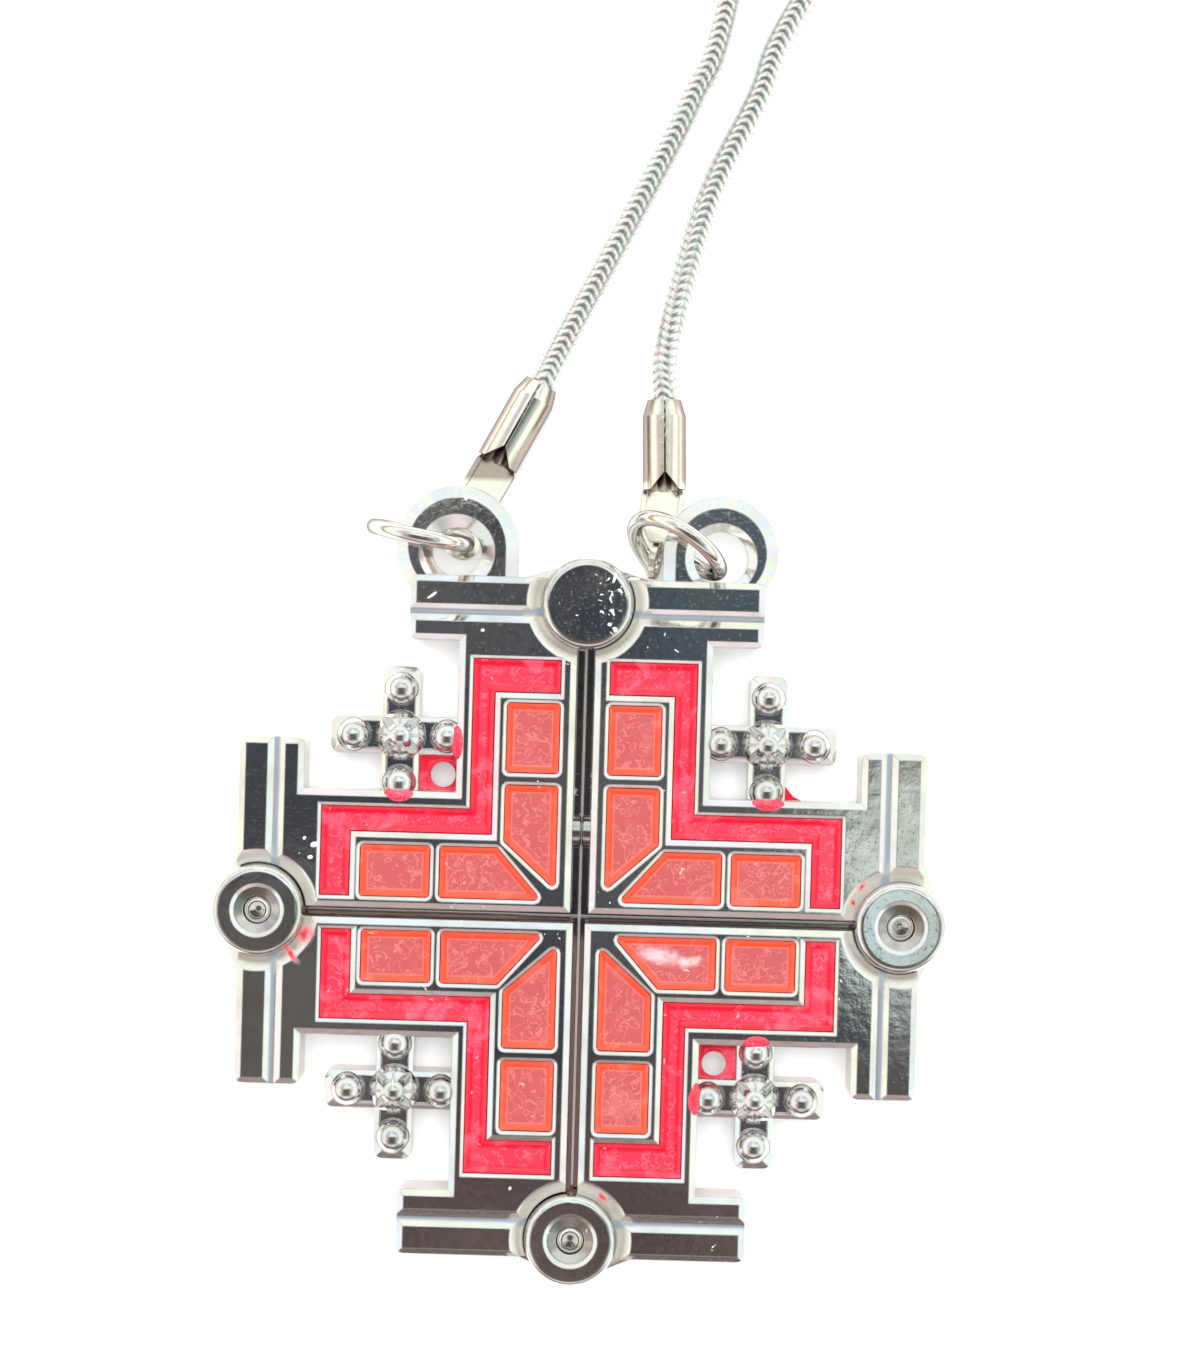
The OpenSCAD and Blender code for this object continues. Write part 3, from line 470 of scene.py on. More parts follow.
# Each pair is where a ball is full and where it has ended
BORE_RADII = (1.22, 1.38)
EYE_RADII = (2.56, 2.66)
HOLLOW_RADII = (3.45, 3.75)
# Painted shade for the slots between the castings
SLOT_SHADE = (0.16, 0.11, 0.10, 1)
BARE_METAL = (0.74, 0.56, 0.53, 1)
DULL_METAL = (0.60, 0.57, 0.52, 1)
CREAM = (1.0, 0.96, 0.86, 1)
# A painted steel-blue reflection for the floors of the grooves
GROOVE_REFLECTION_BLUE = (0.72, 0.82, 0.98, 1)
# A painted brown reflection for the low sides of the barrels
BARREL_SIDE_REFLECTION = (0.36, 0.27, 0.25, 1)


def tone_and_roughen(tree, mask, colour, shine, tone, share, rougher=0.0):
    """Where the mask is, a share of a tone over the colour, and a rougher surface."""
    colour = blend(tree, times(tree, mask, share), colour, tone)
    return colour, plus(tree, shine, times(tree, mask, rougher), True)


# %% Slots, counterbores and hollows
def shade_slots_and_bare_metal(tree, place, colour, shine):
    """Paints shade into the slots, and bare metal into the lower and left ones. A slot is where the smaller
    of the unsigned x and y is small, below the faces of the castings.
    """
    x, y, height = add(tree, "SeparateXYZ", {0: place}).outputs
    off_middle = math_node(tree, "MINIMUM", unsigned(tree, x), unsigned(tree, y))
    in_slot = times(tree, between(tree, off_middle, *SLOT_HALF), between(tree, height, *SLOT_BELOW))
    # The dark tone over the slots is painted shade.
    colour, shine = tone_and_roughen(tree, in_slot, colour, shine, SLOT_SHADE, share=0.8)
    lower = between(tree, y, *LOWER_SLOT)
    left = times(tree, between(tree, x, *LEFT_SLOT), noise(tree, place, 0.5))
    bare = times(tree, in_slot, larger(tree, lower, left))
    return tone_and_roughen(tree, bare, colour, shine, BARE_METAL, share=1.0, rougher=0.5)


def dull_hollows(tree, place, red, colour, shine):
    """A counterbore is a ball round a pivot, and a hollow is a ball round an eye less the eye itself,
    between two heights and clear of the red smears."""
    for x, y in PIVOTS:
        in_bore = near(tree, place, (x, y, BORE_Z), *BORE_RADII)
        colour, shine = tone_and_roughen(tree, in_bore, colour, shine, DULL_METAL, share=0.7, rougher=0.10)
    height = add(tree, "SeparateXYZ", {0: place}).outputs[2]
    open_height = times(tree, between(tree, height, *HOLLOW_BELOW), between(tree, height, *HOLLOW_ABOVE))
    open_height = times(tree, open_height, outside(tree, red))
    for x, y in PIVOTS + [CATCH]:
        ball = near(tree, place, (x, y, EYE_Z), *HOLLOW_RADII)
        eye = near(tree, place, (x, y, EYE_Z), *EYE_RADII)
        in_hollow = times(tree, math_node(tree, "SUBTRACT", ball, eye), open_height)
        colour, shine = tone_and_roughen(tree, in_hollow, colour, shine, CREAM, share=0.8, rougher=0.30)
    return colour, shine


# %% Grooves and barrels
def dull_grooves_and_paint_reflection(tree, place, colour, shine):
    """Roughens a groove's floor and gives it a painted steel-blue reflection. A groove is where the unsigned
    x or y is near the middle line of a crossbar, below its face.
    """
    x, y, height = add(tree, "SeparateXYZ", {0: place}).outputs
    off_x = unsigned(tree, math_node(tree, "SUBTRACT", unsigned(tree, x), GROOVE_AT))
    off_y = unsigned(tree, math_node(tree, "SUBTRACT", unsigned(tree, y), GROOVE_AT))
    in_groove = between(tree, math_node(tree, "MINIMUM", off_x, off_y), *GROOVE_HALF)
    in_groove = times(tree, in_groove, between(tree, height, *GROOVE_BELOW))
    return tone_and_roughen(tree, in_groove, colour, shine, GROOVE_REFLECTION_BLUE, share=0.6, rougher=0.45)


def paint_barrel_side_reflection(tree, place, colour, shine, brown_below):
    """Paints a brown reflection onto the sides of a barrel, which are what lies below a height, behind the
    line where the barrels begin.
    """
    y, height = add(tree, "SeparateXYZ", {0: place}).outputs[1:]
    low = between(tree, height, brown_below, brown_below - BARREL_SIDE_REFLECTION_FADES)
    low = times(tree, low, between(tree, y, *BARRELS_FROM))
    return tone_and_roughen(tree, low, colour, shine, BARREL_SIDE_REFLECTION, share=0.8)


# %% [markdown]
# ## Bright plating
# One function makes the plating and is told how much of each mark there is, because the findings have the
# same finish as the castings with less of everything. A metal shader gives the mirror. Haze and scratches
# roughen it, a faint orange peel from the casting bends it, and the Bevel node rounds the sharp edges of
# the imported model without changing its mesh, so that each edge catches a thin line of light.

# %% The plating
DUST_WHITE = (0.92, 0.92, 0.90, 1)
SMEAR_RED = (0.92, 0.045, 0.080, 1)


def plating(name, tint, dull, roughness, peel, frost, edge, outline, specks=(), dirt=(), smears=(),
            grooved=False, brown_below=None):
    """Polished plating. tint and dull are the clean and the dulled colour, frost the share of faint
    frosting, edge how far the edges are rounded, in millimetres, and outline how bright it stays where it
    is seen at a low angle. A row of specks has the middle, reach and share of a sprinkling of white specks,
    dirt lists white marks, and smears lists smears of enamel. A casting is grooved, and a barrel gets a
    painted brown reflection below a height."""
    edge_tint = (outline, 0.92 * outline, 0.90 * outline, 1)
    material, tree, shader = new_material(name, specular_ior_level=0.5, specular_tint=edge_tint)
    place = millimetres(tree)
    haze = blotches(tree, place, 0.35, 0.40, 0.70, 4.0)
    lines = scratches(tree, place, turn=0.5, scale=2.2)
    lines = larger(tree, lines, scratches(tree, place, turn=2.1, scale=1.7))
    spots = dusty(tree, place, specks, dirt)
    red = smeared(tree, place, smears)
    colour = blend(tree, haze, tint, dull)
    colour = blend(tree, spots, colour, DUST_WHITE)
    if smears:
        colour = blend(tree, red, colour, SMEAR_RED)
        spots = larger(tree, spots, times(tree, red, 0.9))
    metal = outside(tree, times(tree, spots, 0.85), True)

    frosting = blotches(tree, place, 5.0, 0.56, 0.70, 4.0)
    shine = plus(tree, roughness, times(tree, haze, 0.04))
    shine = plus(tree, shine, times(tree, frosting, frost))
    shine = plus(tree, shine, times(tree, lines, frost * 0.3))
    shine = plus(tree, shine, times(tree, spots, 0.3), True)
    if grooved:
        # The slots get painted shade, and the lower and left ones bare metal.
        colour, shine = shade_slots_and_bare_metal(tree, place, colour, shine)
        colour, shine = dull_hollows(tree, place, red, colour, shine)
        # The grooves' floors are rougher and get a painted steel-blue reflection.
        colour, shine = dull_grooves_and_paint_reflection(tree, place, colour, shine)
    # The low sides of a barrel get a painted brown reflection.
    if brown_below:
        colour, shine = paint_barrel_side_reflection(tree, place, colour, shine, brown_below)

    rounded = add(tree, "Bevel", {"Radius": edge * MM}, samples=4).outputs[0]
    normal = bump(tree, noise(tree, place, 1.6, 3.0), peel, rounded)
    finish_shader(tree, shader, base_color=colour, metallic=metal, roughness=shine, normal=normal)
    return material


# %% [markdown]
# ## Finishes of the imported pieces
# The marks on this pendant are placed where they lie on the real one: specks on the catch disc, along the
# slots and on the bottom and right arms, and red smears beside the left, bottom and right eyes. The imported
# pieces keep their meshes.

# %% Place the marks and finish the imported pieces
SPECKS = [((1.3, 18.5, 3.3), 1.6, 0.145), ((1.2, 16.4, 3.3), 1.1, 0.14), ((0.2, 6.2, 1.2), 2.3, 0.17),
          ((4.2, 14.6, 3.0), 2.2, 0.12), ((1.0, 0.8, 3.0), 1.6, 0.11), ((-1.0, -0.8, 3.0), 1.6, 0.11),
          ((2.6, -3.2, 3.0), 2.4, 0.10), ((-6.0, -1.0, 1.2), 4.0, 0.13), ((8.6, -17.0, 3.0), 2.6, 0.10),
          ((15.0, -3.6, 3.0), 1.6, 0.10)]
DIRT = [((-8.6, 17.65, 3.0), 0.36, 0.09, 0.6), ((1.45, 18.9, 3.25), 0.09, 0.34, -0.3),
        ((1.75, 18.2, 3.25), 0.15, 0.12, 0.0), ((-5.75, 15.8, 3.0), 0.13, 0.11, 0.0),
        ((1.25, 16.3, 3.25), 0.13, 0.11, 0.0), ((-6.9, 23.1, 2.8), 0.10, 0.17, 0.0),
        ((-15.3, 4.05, 3.0), 0.13, 0.10, 0.9), ((-14.75, 3.7, 3.0), 0.24, 0.17, 0.5),
        ((-14.95, 3.0, 3.0), 0.16, 0.11, 0.0), ((-3.4, -15.0, 3.0), 0.13, 0.10, 1.2)]
SMEARS = [((-15.1, -1.3, 2.7), 0.95, 0.62, 0.9), ((-15.9, -2.4, 2.7), 0.80, 0.34, -0.8),
          ((1.75, -15.4, 2.7), 0.85, 0.34, -0.75), ((15.15, 1.25, 2.7), 0.26, 0.38, 0.3),
          ((15.6, 2.2, 2.7), 0.30, 0.55, -0.6)]
casting_finish = plating(
    "plated_casting", tint=(0.84, 0.84, 0.85, 1), dull=(0.74, 0.73, 0.71, 1), roughness=0.06, peel=0.005,
    frost=0.10, edge=0.10, outline=0.8, specks=SPECKS, dirt=DIRT, smears=SMEARS, grooved=True)
finding_finish = plating(
    "plated_findings", tint=(0.88, 0.87, 0.84, 1), dull=(0.80, 0.78, 0.72, 1), roughness=0.08, peel=0.006,
    frost=0.04, edge=0.06, outline=0.3)
cap_finish = plating(
    "plated_caps", tint=(0.97, 0.94, 0.86, 1), dull=(0.92, 0.88, 0.74, 1), roughness=0.15, peel=0.006,
    frost=0.06, edge=0.06, outline=0.4, brown_below=2.15)
magnet_finish = plating(
    "plated_magnet", tint=(0.66, 0.67, 0.68, 1), dull=(0.54, 0.54, 0.55, 1), roughness=0.14, peel=0.004,
    frost=0.10, edge=0.05, outline=0.8)
rivet_finish = plating(
    "plated_rivet", tint=(0.84, 0.83, 0.80, 1), dull=(0.74, 0.72, 0.68, 1), roughness=0.08, peel=0.004,
    frost=0.10, edge=0.05, outline=0.6)


def finish_node(node, material):
    """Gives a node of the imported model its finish."""
    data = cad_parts[node].data
    if not data.materials:
        data.materials.append(material)
    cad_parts[node].material_slots[0].material = material


HANDS = ["left", "right"]
finishes = [("quarter_", QUARTERS, casting_finish), ("rivet_", HANDS + ["bottom"], rivet_finish),
            ("catch_magnet_", HANDS, magnet_finish), ("end_cap_", HANDS, cap_finish)]
for kind, ends, material in finishes:
    for end in ends:
        finish_node(kind + end, material)
    print(kind, len(ends), material.name)

# %% [markdown]
# ## Making a mesh from a grid
# The new pieces are all surfaces over a grid of two parameters. This helper turns rows and columns of
# points into quads, closes the ends with one face each, and hangs the piece on the pendant's one body.

# %% Grid helper
def grid_piece(name, points, material, nodes=(), marks=None, flip=False, hollow=False):
    """A closed skin over points[row, column]: the columns run round, and the first and last rows are closed
    with a face each, or joined to each other where the piece is hollow, like a tyre. marks is a value for
    every point that the finish can read."""
    rows, columns = points.shape[:2]
    index = np.arange(rows * columns).reshape(rows, columns)
    if hollow:
        index = np.vstack([index, index[:1]])
    beside = np.roll(index, -1, 1)
    faces = np.stack([index[:-1], beside[:-1], beside[1:], index[1:]], -1).reshape(-1, 4).tolist()
    if not hollow:
        faces += [index[0, ::-1].tolist(), index[-1].tolist()]
    if flip:
        faces = [face[::-1] for face in faces]
    mesh = bpy.data.meshes.new(name)
    mesh.from_pydata(points.reshape(-1, 3).tolist(), [], faces)
    mesh.shade_smooth()
    if marks is not None:
        attribute = mesh.attributes.new("mark", "FLOAT", "POINT")
        attribute.data.foreach_set("value", marks.ravel().astype(np.float32))
    mesh.materials.append(material)
    piece = bpy.data.objects.new(name, mesh)
    bpy.context.scene.collection.objects.link(piece)
    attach(piece, "root")
    if nodes:
        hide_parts(*nodes)
    return piece


# %% [markdown]
# ## Red enamel
# The enamel was poured in and fired or cured, so it is a pool: it clings to the wall of its bed and sinks
# towards the middle. The slope at the rim catches the room, and the level middle mirrors the dark hood,
# which is why each window has a bright border round a greyer field. The finish reads a mark that each pool
# carries, 0 at its rim and 1 on its level middle, and sets the colours by it, so in the windows the bright
# border and greyer field are also painted into the colour as painted reflections, with a painted highlight
# line where they meet. Wrinkles, pale streaks, bubbles and specks go over that.

# %% Masks for enamel
def band_of(tree, value, low, high, soft_low, soft_high):
    """1 where a value lies between low and high, with a soft edge of its own on each side."""
    over_low = between(tree, value, low - soft_low, low)
    return times(tree, over_low, between(tree, value, high + soft_high, high))


def rubbed_white(tree, place, colour, mark):
    """White haze over a colour inside one mark, pinkish and bluish by turns."""
    haze = blotches(tree, place, 1.5, 0.42, 0.58, 3.0)
    white = blend(tree, haze, (0.84, 0.60, 0.56, 1), (0.84, 0.84, 0.96, 1))
    return blend(tree, times(tree, patch(tree, place, *mark, 0.2), 0.6), colour, white)


# %% Enamel finishes
PALE_SPECK = (0.95, 0.62, 0.60, 1)
LINE_EDGE = (0.45, 0.10)


def enamel(name, rim, middle, streak, streak_share, line_share, hazed=()):
    """Glossy enamel that goes from the rim's colour to the middle's by its mark, with a painted highlight
    line where they meet, and pale streaks, bubbles and specks of dust. hazed is a list of marks where the
    surface is rubbed white."""
    material, tree, shader = new_material(name, metallic=0.0, coat_weight=0.6, coat_roughness=0.04)
    place = millimetres(tree)
    mark = add(tree, "Attribute", attribute_name="mark").outputs["Fac"]
    # In the windows the rim and middle colours paint a bright border and a greyer field as painted
    # reflections.
    colour = blend(tree, mark, rim, middle)
    # The pale line where rim and middle meet is a painted highlight.
    off_line = unsigned(tree, math_node(tree, "SUBTRACT", mark, 0.5))
    colour = blend(tree, times(tree, between(tree, off_line, *LINE_EDGE), line_share), colour, streak)

    wrinkles = noise(tree, place, 1.3, 2.0, 1.2)
    wrinkles = band_of(tree, wrinkles, low=0.515, high=0.540, soft_low=0.020, soft_high=0.025)
    colour = blend(tree, times(tree, times(tree, wrinkles, mark), 0.55), colour, streak)
    wavy = noise(tree, place, 0.55, 3.0, 0.8)
    colour = blend(tree, times(tree, between(tree, wavy, 0.52, 0.70), streak_share), colour, streak)
    from_bubble = add(tree, "TexVoronoi", {"Vector": place, "Scale": 0.9}).outputs["Distance"]
    bubbles = band_of(tree, from_bubble, low=0.13, high=0.14, soft_low=0.05, soft_high=0.06)
    colour = blend(tree, times(tree, bubbles, 0.35), colour, streak)
    for rub in hazed:
        colour = rubbed_white(tree, place, colour, rub)
    colour = blend(tree, times(tree, speck_mask(tree, place, 2.4, 0.07), 0.7), colour, PALE_SPECK)

    shine = plus(tree, 0.10, times(tree, wavy, 0.10))
    normal = bump(tree, noise(tree, place, 0.9), 0.03)
    normal = bump(tree, bubbles, 0.01, normal)
    finish_shader(tree, shader, base_color=colour, roughness=shine, normal=normal)
    return material


RUBBED = [((4.6, -1.95, 2.8), 1.7, 0.62, -0.2), ((6.1, -2.3, 2.8), 1.0, 0.42, 0.3)]
band_finish = enamel(
    "crimson_enamel", rim=(0.76, 0.006, 0.035, 1), middle=(0.84, 0.040, 0.080, 1),
    streak=(0.96, 0.16, 0.25, 1), streak_share=0.5, line_share=0.0)
# Its bright rim colour and greyer middle colour are painted reflections of the room and the dark hood.
window_finish = enamel(
    "orange_enamel", rim=(0.93, 0.075, 0.030, 1), middle=(0.54, 0.105, 0.108, 1),
    streak=(0.80, 0.24, 0.22, 1), streak_share=0.3, line_share=0.4, hazed=RUBBED)
print("enamels:", band_finish.name, window_finish.name)

# %% [markdown]
# ## The outlines of the pools
# A pool has to follow its bed, and the bed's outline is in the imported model: it is the edge of the flat top
# of the enamel's node. So the outlines are read from there, and nothing is typed twice. A window gives its
# four long sides, and a band is always the same walk round ten corners.

# %% Read the outlines
def top_points(node):
    """The corners of a node's flat top, each once, as x and y."""
    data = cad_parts[node].data
    points = np.zeros(len(data.vertices) * 3, np.float32)
    data.vertices.foreach_get("co", points)
    points = points.reshape(-1, 3)
    top = points[points[:, 2] > points[:, 2].max() - 0.001 * MM]
    return np.unique(np.round(top[:, :2].astype(float), 7), axis=0)


def window_outline(node):
    """The four corners of a window in order. The points of its flat top are sorted by their angle round the
    middle, and each long side is drawn out until it meets the next, past the rounding between them."""
    points = top_points(node)
    away = points - points.mean(0)
    points = points[np.argsort(np.arctan2(away[:, 1], away[:, 0]))]
    side = np.roll(points, -1, 0) - points
    long = np.linalg.norm(side, axis=1) > 0.5 * MM
    start, side = points[long], side[long]
    before, along_before = np.roll(start, 1, 0), np.roll(side, 1, 0)
    apart = start - before
    share = (apart[:, 0] * side[:, 1] - apart[:, 1] * side[:, 0])
    share = share / (along_before[:, 0] * side[:, 1] - along_before[:, 1] * side[:, 0])
    return before + share[:, None] * along_before


def band_outline(node):
    """The ten corners of a band, anticlockwise. It turns at five distances from the middle of the cross,
    the same five in each corner, so the outline is a walk over their sorted values."""
    corners = top_points(node)
    right, high = np.sign(corners.mean(0))
    x = np.unique(np.round(np.abs(corners[:, 0]), 6))
    y = np.unique(np.round(np.abs(corners[:, 1]), 6))
    walk_x = x[[4, 4, 2, 2, 0, 0, 1, 1, 3, 3]] * right
    walk_y = y[[0, 2, 2, 4, 4, 3, 3, 1, 1, 0]] * high
    walk = np.stack([walk_x, walk_y], 1)
    return walk if right * high > 0 else walk[::-1]


# %% [markdown]
# ## Pouring the pools
# Each pool is the outline of its bed, moved inwards ring by ring, and a height that falls off from the
# wall. A simulated liquid would give the same hollow at a hundred times the work. The level middle is one
# face, and two extra points on each side keep the corners crisp under smooth shading.

# %% Pour the pools
BED_FLOOR = 2.12 * MM
CLING = 0.015 * MM
MENISCUS = 0.40 * MM
CORNER_SHARE = 0.04
POOL_STEPS = np.array([0.0, 0.12, 0.3, 0.5, 0.75, 1.0, 1.15])
MARK_FROM = 0.75
MARK_OVER = 0.4
BAND_POOL = {"rim_z": 2.85 * MM, "middle_z": 2.72 * MM, "widest": 0.52 * MM}
WINDOW_POOL = {"rim_z": 2.88 * MM, "middle_z": 2.74 * MM, "widest": 0.55 * MM}
WINDOWS = ["column_outer", "column_inner", "row_outer", "row_inner"]


def at_height(flat, heights):
    """Level points, with one height for each row of them."""
    return np.concatenate([flat, np.broadcast_to(heights[:, None, None], flat.shape[:2] + (1,))], 2)


def inset(outline, distance):
    """Moves each side inwards and lets the moved sides meet again: a corner goes against the sum of its
    sides' outward directions, divided by one plus their dot product."""
    ahead = np.roll(outline, -1, 0) - outline
    ahead = ahead / np.linalg.norm(ahead, axis=1, keepdims=True)
    outward = np.stack([ahead[:, 1], -ahead[:, 0]], 1)
    before = np.roll(outward, 1, 0)
    return outline - distance * (outward + before) / (1 + (outward * before).sum(1, keepdims=True))


def with_side_points(outline):
    """Adds a point near both ends of each side."""
    side = np.roll(outline, -1, 0) - outline
    return np.stack([outline, outline + side * CORNER_SHARE, outline + side * (1 - CORNER_SHARE)], 1)


def pool(name, outline, material, slot, node, rim_z, middle_z, widest):
    """A closed pool: a wall up from the bed, then rings moved inwards by d with height
    middle + (rim - middle) (1 - d / meniscus) squared until d is the meniscus, and level from there."""
    steps = np.append(POOL_STEPS * MENISCUS, widest)
    falling = np.clip(1 - steps / MENISCUS, 0, 1) ** 2
    heights = middle_z + (rim_z - middle_z) * falling
    rings = [with_side_points(inset(outline, CLING + step)).reshape(-1, 2) for step in steps]
    rings = [rings[0]] + rings
    heights = np.append(BED_FLOOR, heights)
    marks = np.append(0.0, np.clip((steps / MENISCUS - MARK_FROM) / MARK_OVER, 0, 1))
    flat = np.stack(rings)
    marks = np.broadcast_to(marks[:, None], flat.shape[:2])
    return grid_piece(name, at_height(flat, heights), material, (node,), marks)


for quarter in QUARTERS:
    node = "band_enamel_" + quarter
    pool("band_pool_" + quarter, band_outline(node), band_finish, "red_enamel", node, **BAND_POOL)
    for window in WINDOWS:
        node = f"window_enamel_{quarter}_{window}"
        pool(f"window_pool_{quarter}_{window}", window_outline(node), window_finish, "window_enamel", node,
             **WINDOW_POOL)
print("pools:", len(QUARTERS) * (1 + len(WINDOWS)))

# %% [markdown]
# ## Stray enamel
# Some enamel ran into the gap beside two of the small crosses and dried there as a thin film with a round
# hole. A film clings to what is round it, so it is thick at the walls and at the rim of its hole, and thin
# between them. It is made like a flat tyre: round the hole in one direction, and over the top and back
# below in the other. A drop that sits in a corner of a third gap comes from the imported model.

# %% Stretch the films
FILM_COLUMNS = 64
THIN_HALF = 0.07
THICKER = 0.10
HOLE_EDGE = [0.15, 0.11, 0.04]
FILM_STEPS = np.array([0, 0.15, 0.3, 0.5, 0.7, 0.85, 0.94, 0.98, 1.0])
# Each film: the middle of its hole and the hole's radius
FILMS = {"top_left": ((-7.79, 7.72), 0.69), "bottom_right": ((7.73, -7.96), 0.67)}


def film(name, hole, hole_radius, node):
    """Each column runs from a point of the square gap's edge to a point of the hole's rim. Half the
    thickness is thin + thicker (2 step - 1) squared, with steps from 0 at the wall to 1 at the hole, where
    it is then rounded off."""
    low, high = (np.array(corner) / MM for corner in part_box(node))
    turn = 2 * np.pi * (np.arange(FILM_COLUMNS) + 0.5) / FILM_COLUMNS
    out = np.stack([np.cos(turn), np.sin(turn)], 1)
    room_left = np.where(out > 0, high[:2] - hole, hole - low[:2]) / np.abs(out)
    wall = hole + out * room_left.min(1)[:, None]
    rim = hole + out * hole_radius
    half = THIN_HALF + THICKER * (2 * FILM_STEPS - 1) ** 2
    half[-3:] = HOLE_EDGE
    flat = wall + (rim - wall) * FILM_STEPS[:, None, None]
    middle = (low[2] + high[2]) / 2
    points = np.concatenate([at_height(flat, middle + half), at_height(flat, middle - half)[::-1]])
    return grid_piece(name, points * MM, band_finish, (node,), hollow=True)


for gap, (hole, hole_radius) in FILMS.items():
    film("stray_film_" + gap, np.array(hole), hole_radius, "enamel_film_" + gap)
finish_node("enamel_spill_top_right", band_finish)
print("films:", len(FILMS))

# %% [markdown]
# ## Drops that ran over
# Five more drops ran over the edge of a band and stopped against a bead. They are low domes with a wavy
# rim, half sunk in the metal they cling to. Each is a grid whose rows climb from below the rim to the top.

# %% Let the drops run over
DROP_MIDDLE_Z = 2.72
DROP_RISE = 0.38
DROP_ROWS = [-60, -30, 0, 15, 30, 45, 60, 72, 82, 88]
DROP_COLUMNS = 64
# Each drop: its place across and along, and half its size across and along
DROPS = {
    "drop_top_left_below": (-10.15, 6.52, 0.98, 0.46),
    "drop_top_left_beside": (-6.98, 9.55, 0.42, 0.95),
    "drop_top_right_below": (10.28, 6.52, 1.00, 0.46),
    "drop_bottom_right_above": (10.0, -6.50, 0.92, 0.42),
    "drop_bottom_right_beside": (6.60, -9.85, 0.44, 1.00),
}


def drop(name, x, y, half_x, half_y, seed):
    """A low dome over a wavy oval: the share of the oval falls as the cosine of an angle that runs from
    below the rim to the top, and the height rises as its sine. The rim waves by two seeded sines."""
    waves = np.random.default_rng(seed).uniform(0, 2 * np.pi, 2)
    turn = 2 * np.pi * np.arange(DROP_COLUMNS) / DROP_COLUMNS
    rim = 1 + 0.05 * np.sin(2 * turn + waves[0]) + 0.025 * np.sin(3 * turn + waves[1])
    rise = np.radians(DROP_ROWS)[:, None]
    share = np.cos(rise) * rim
    height = DROP_MIDDLE_Z + DROP_RISE * np.sin(rise) + 0 * share
    points = np.stack([x + half_x * share * np.cos(turn), y + half_y * share * np.sin(turn), height], 2)
    return grid_piece(name, points * MM, band_finish, marks=np.ones(share.shape))


for seed, (name, sizes) in enumerate(DROPS.items()):
    drop(name, *sizes, seed)
print("drops:", len(DROPS))

# %% [markdown]
# ## The snake chain
# A round snake chain is a row of narrow rings, each bent in a zigzag of four waves, so that the points of
# one lie in the notches of the next. Building the rings one by one would take thousands of parts. Here the
# whole strand is one skin: its rows follow the zigzag, five to a ring, and its radius dips where two rings
# meet and a little along the folds. The skin carries a mark that is 1 on the crowns of the rings, and the
# finish paints shade between them and along the folds, and faint warm and cool painted reflections on the
# crowns. The strand follows the same points as in the imported model.

# %% The chain's finish and its route
chain_finish, tree, shader = new_material("plated_chain", metallic=0.9)
place = millimetres(tree)
crown = add(tree, "Attribute", attribute_name="mark").outputs["Fac"]
# Faint warm and cool tints on the crowns are painted reflections of the coloured room.
reflection_tint = blend(tree, blotches(tree, place, 1.2, 0.42, 0.58), (1.0, 0.95, 0.93, 1), (0.90, 1.0, 0.97, 1))
# Between the rings and along the folds the colour falls to a painted shade.
colour = blend(tree, crown, (0.46, 0.45, 0.45, 1), reflection_tint)
shine = plus(tree, 0.22, times(tree, blotches(tree, place, 0.9, 0.2, 0.9, 3.0), 0.12))
links_peel = bump(tree, noise(tree, place, 6.0), 0.004)
finish_shader(tree, shader, base_color=colour, roughness=shine, normal=links_peel)

CHAIN_ROUTES = {
    "left": [(-4.12, 27.44, 1.2), (-2.95, 29.65, 1.2), (-1.8, 32.1, 0.9), (2.3, 40.2, 0.75), (5, 45.9, 0.75),
             (6.9, 51.5, 0.75), (10.4, 73, 0.75), (9.6, 101, 0.75), (6.2, 133, 0.75), (6.3, 158, 0.75),
             (11, 180, 0.75), (20, 197.5, 0.75), (33, 209.5, 0.75), (47, 215.3, 0.75), (60.4, 215, 1.2),
             (66, 212.9, 1.6)],
    "right": [(4.03, 26.45, 1.2), (3.95, 28.95, 1.2), (4.1, 32.4, 0.9), (6.1, 40.3, 0.75), (8.7, 46, 0.75),
              (11.1, 51.7, 0.75), (22, 69, 0.75), (45, 92, 0.75), (69, 114, 0.75), (84, 131, 0.75),
              (93.5, 148, 0.75), (98.4, 167, 0.75), (96.5, 185.5, 0.75), (89.5, 199.5, 0.75),
              (80, 207.5, 1.2), (74.4, 209.7, 1.6)],
}

# %% The curve of a strand
def smooth_route(points, steps=60):
    """A curve through the points: on each stretch the cubic of its two ends and their neighbours, where the
    first and last points stand in for the neighbours that are missing."""
    p = np.vstack([points[:1], points, points[-1:]])
    a, b, c, d = (p[i:len(p) - 3 + i, None, :] for i in range(4))
    t = np.linspace(0, 1, steps, endpoint=False)[None, :, None]
    squared = 2 * a - 5 * b + 4 * c - d
    cubed = 3 * b - a - 3 * c + d
    curve = (2 * b + (c - a) * t + squared * t ** 2 + cubed * t ** 3) / 2
    return np.vstack([curve.reshape(-1, 3), points[-1:]])


def with_directions(curve):
    """How far along the curve each point is, and the directions to its left and upwards from it."""
    travelled = np.append(0, np.cumsum(np.linalg.norm(np.diff(curve, axis=0), axis=1)))
    ahead = np.gradient(curve, travelled, axis=0)
    ahead /= np.linalg.norm(ahead, axis=1, keepdims=True)
    leftward = np.cross([0, 0, 1], ahead)
    leftward /= np.linalg.norm(leftward, axis=1, keepdims=True)
    return travelled, leftward, np.cross(ahead, leftward)


# %% The chain's skin
CHAIN_RADIUS = 0.75
RING_PITCH = 0.47
WAVES = 4
CHAIN_COLUMNS = 32
IN_RING = np.array([0.0, 0.13, 0.36, 0.64, 0.87])
GROOVE = np.array([1.0, 0.35, 0.0, 0.05, 0.40])
GROOVE_DEPTH = 0.10
FOLD_DEPTH = 0.045
ZIGZAG = 0.30
TWIST_FADES = 6


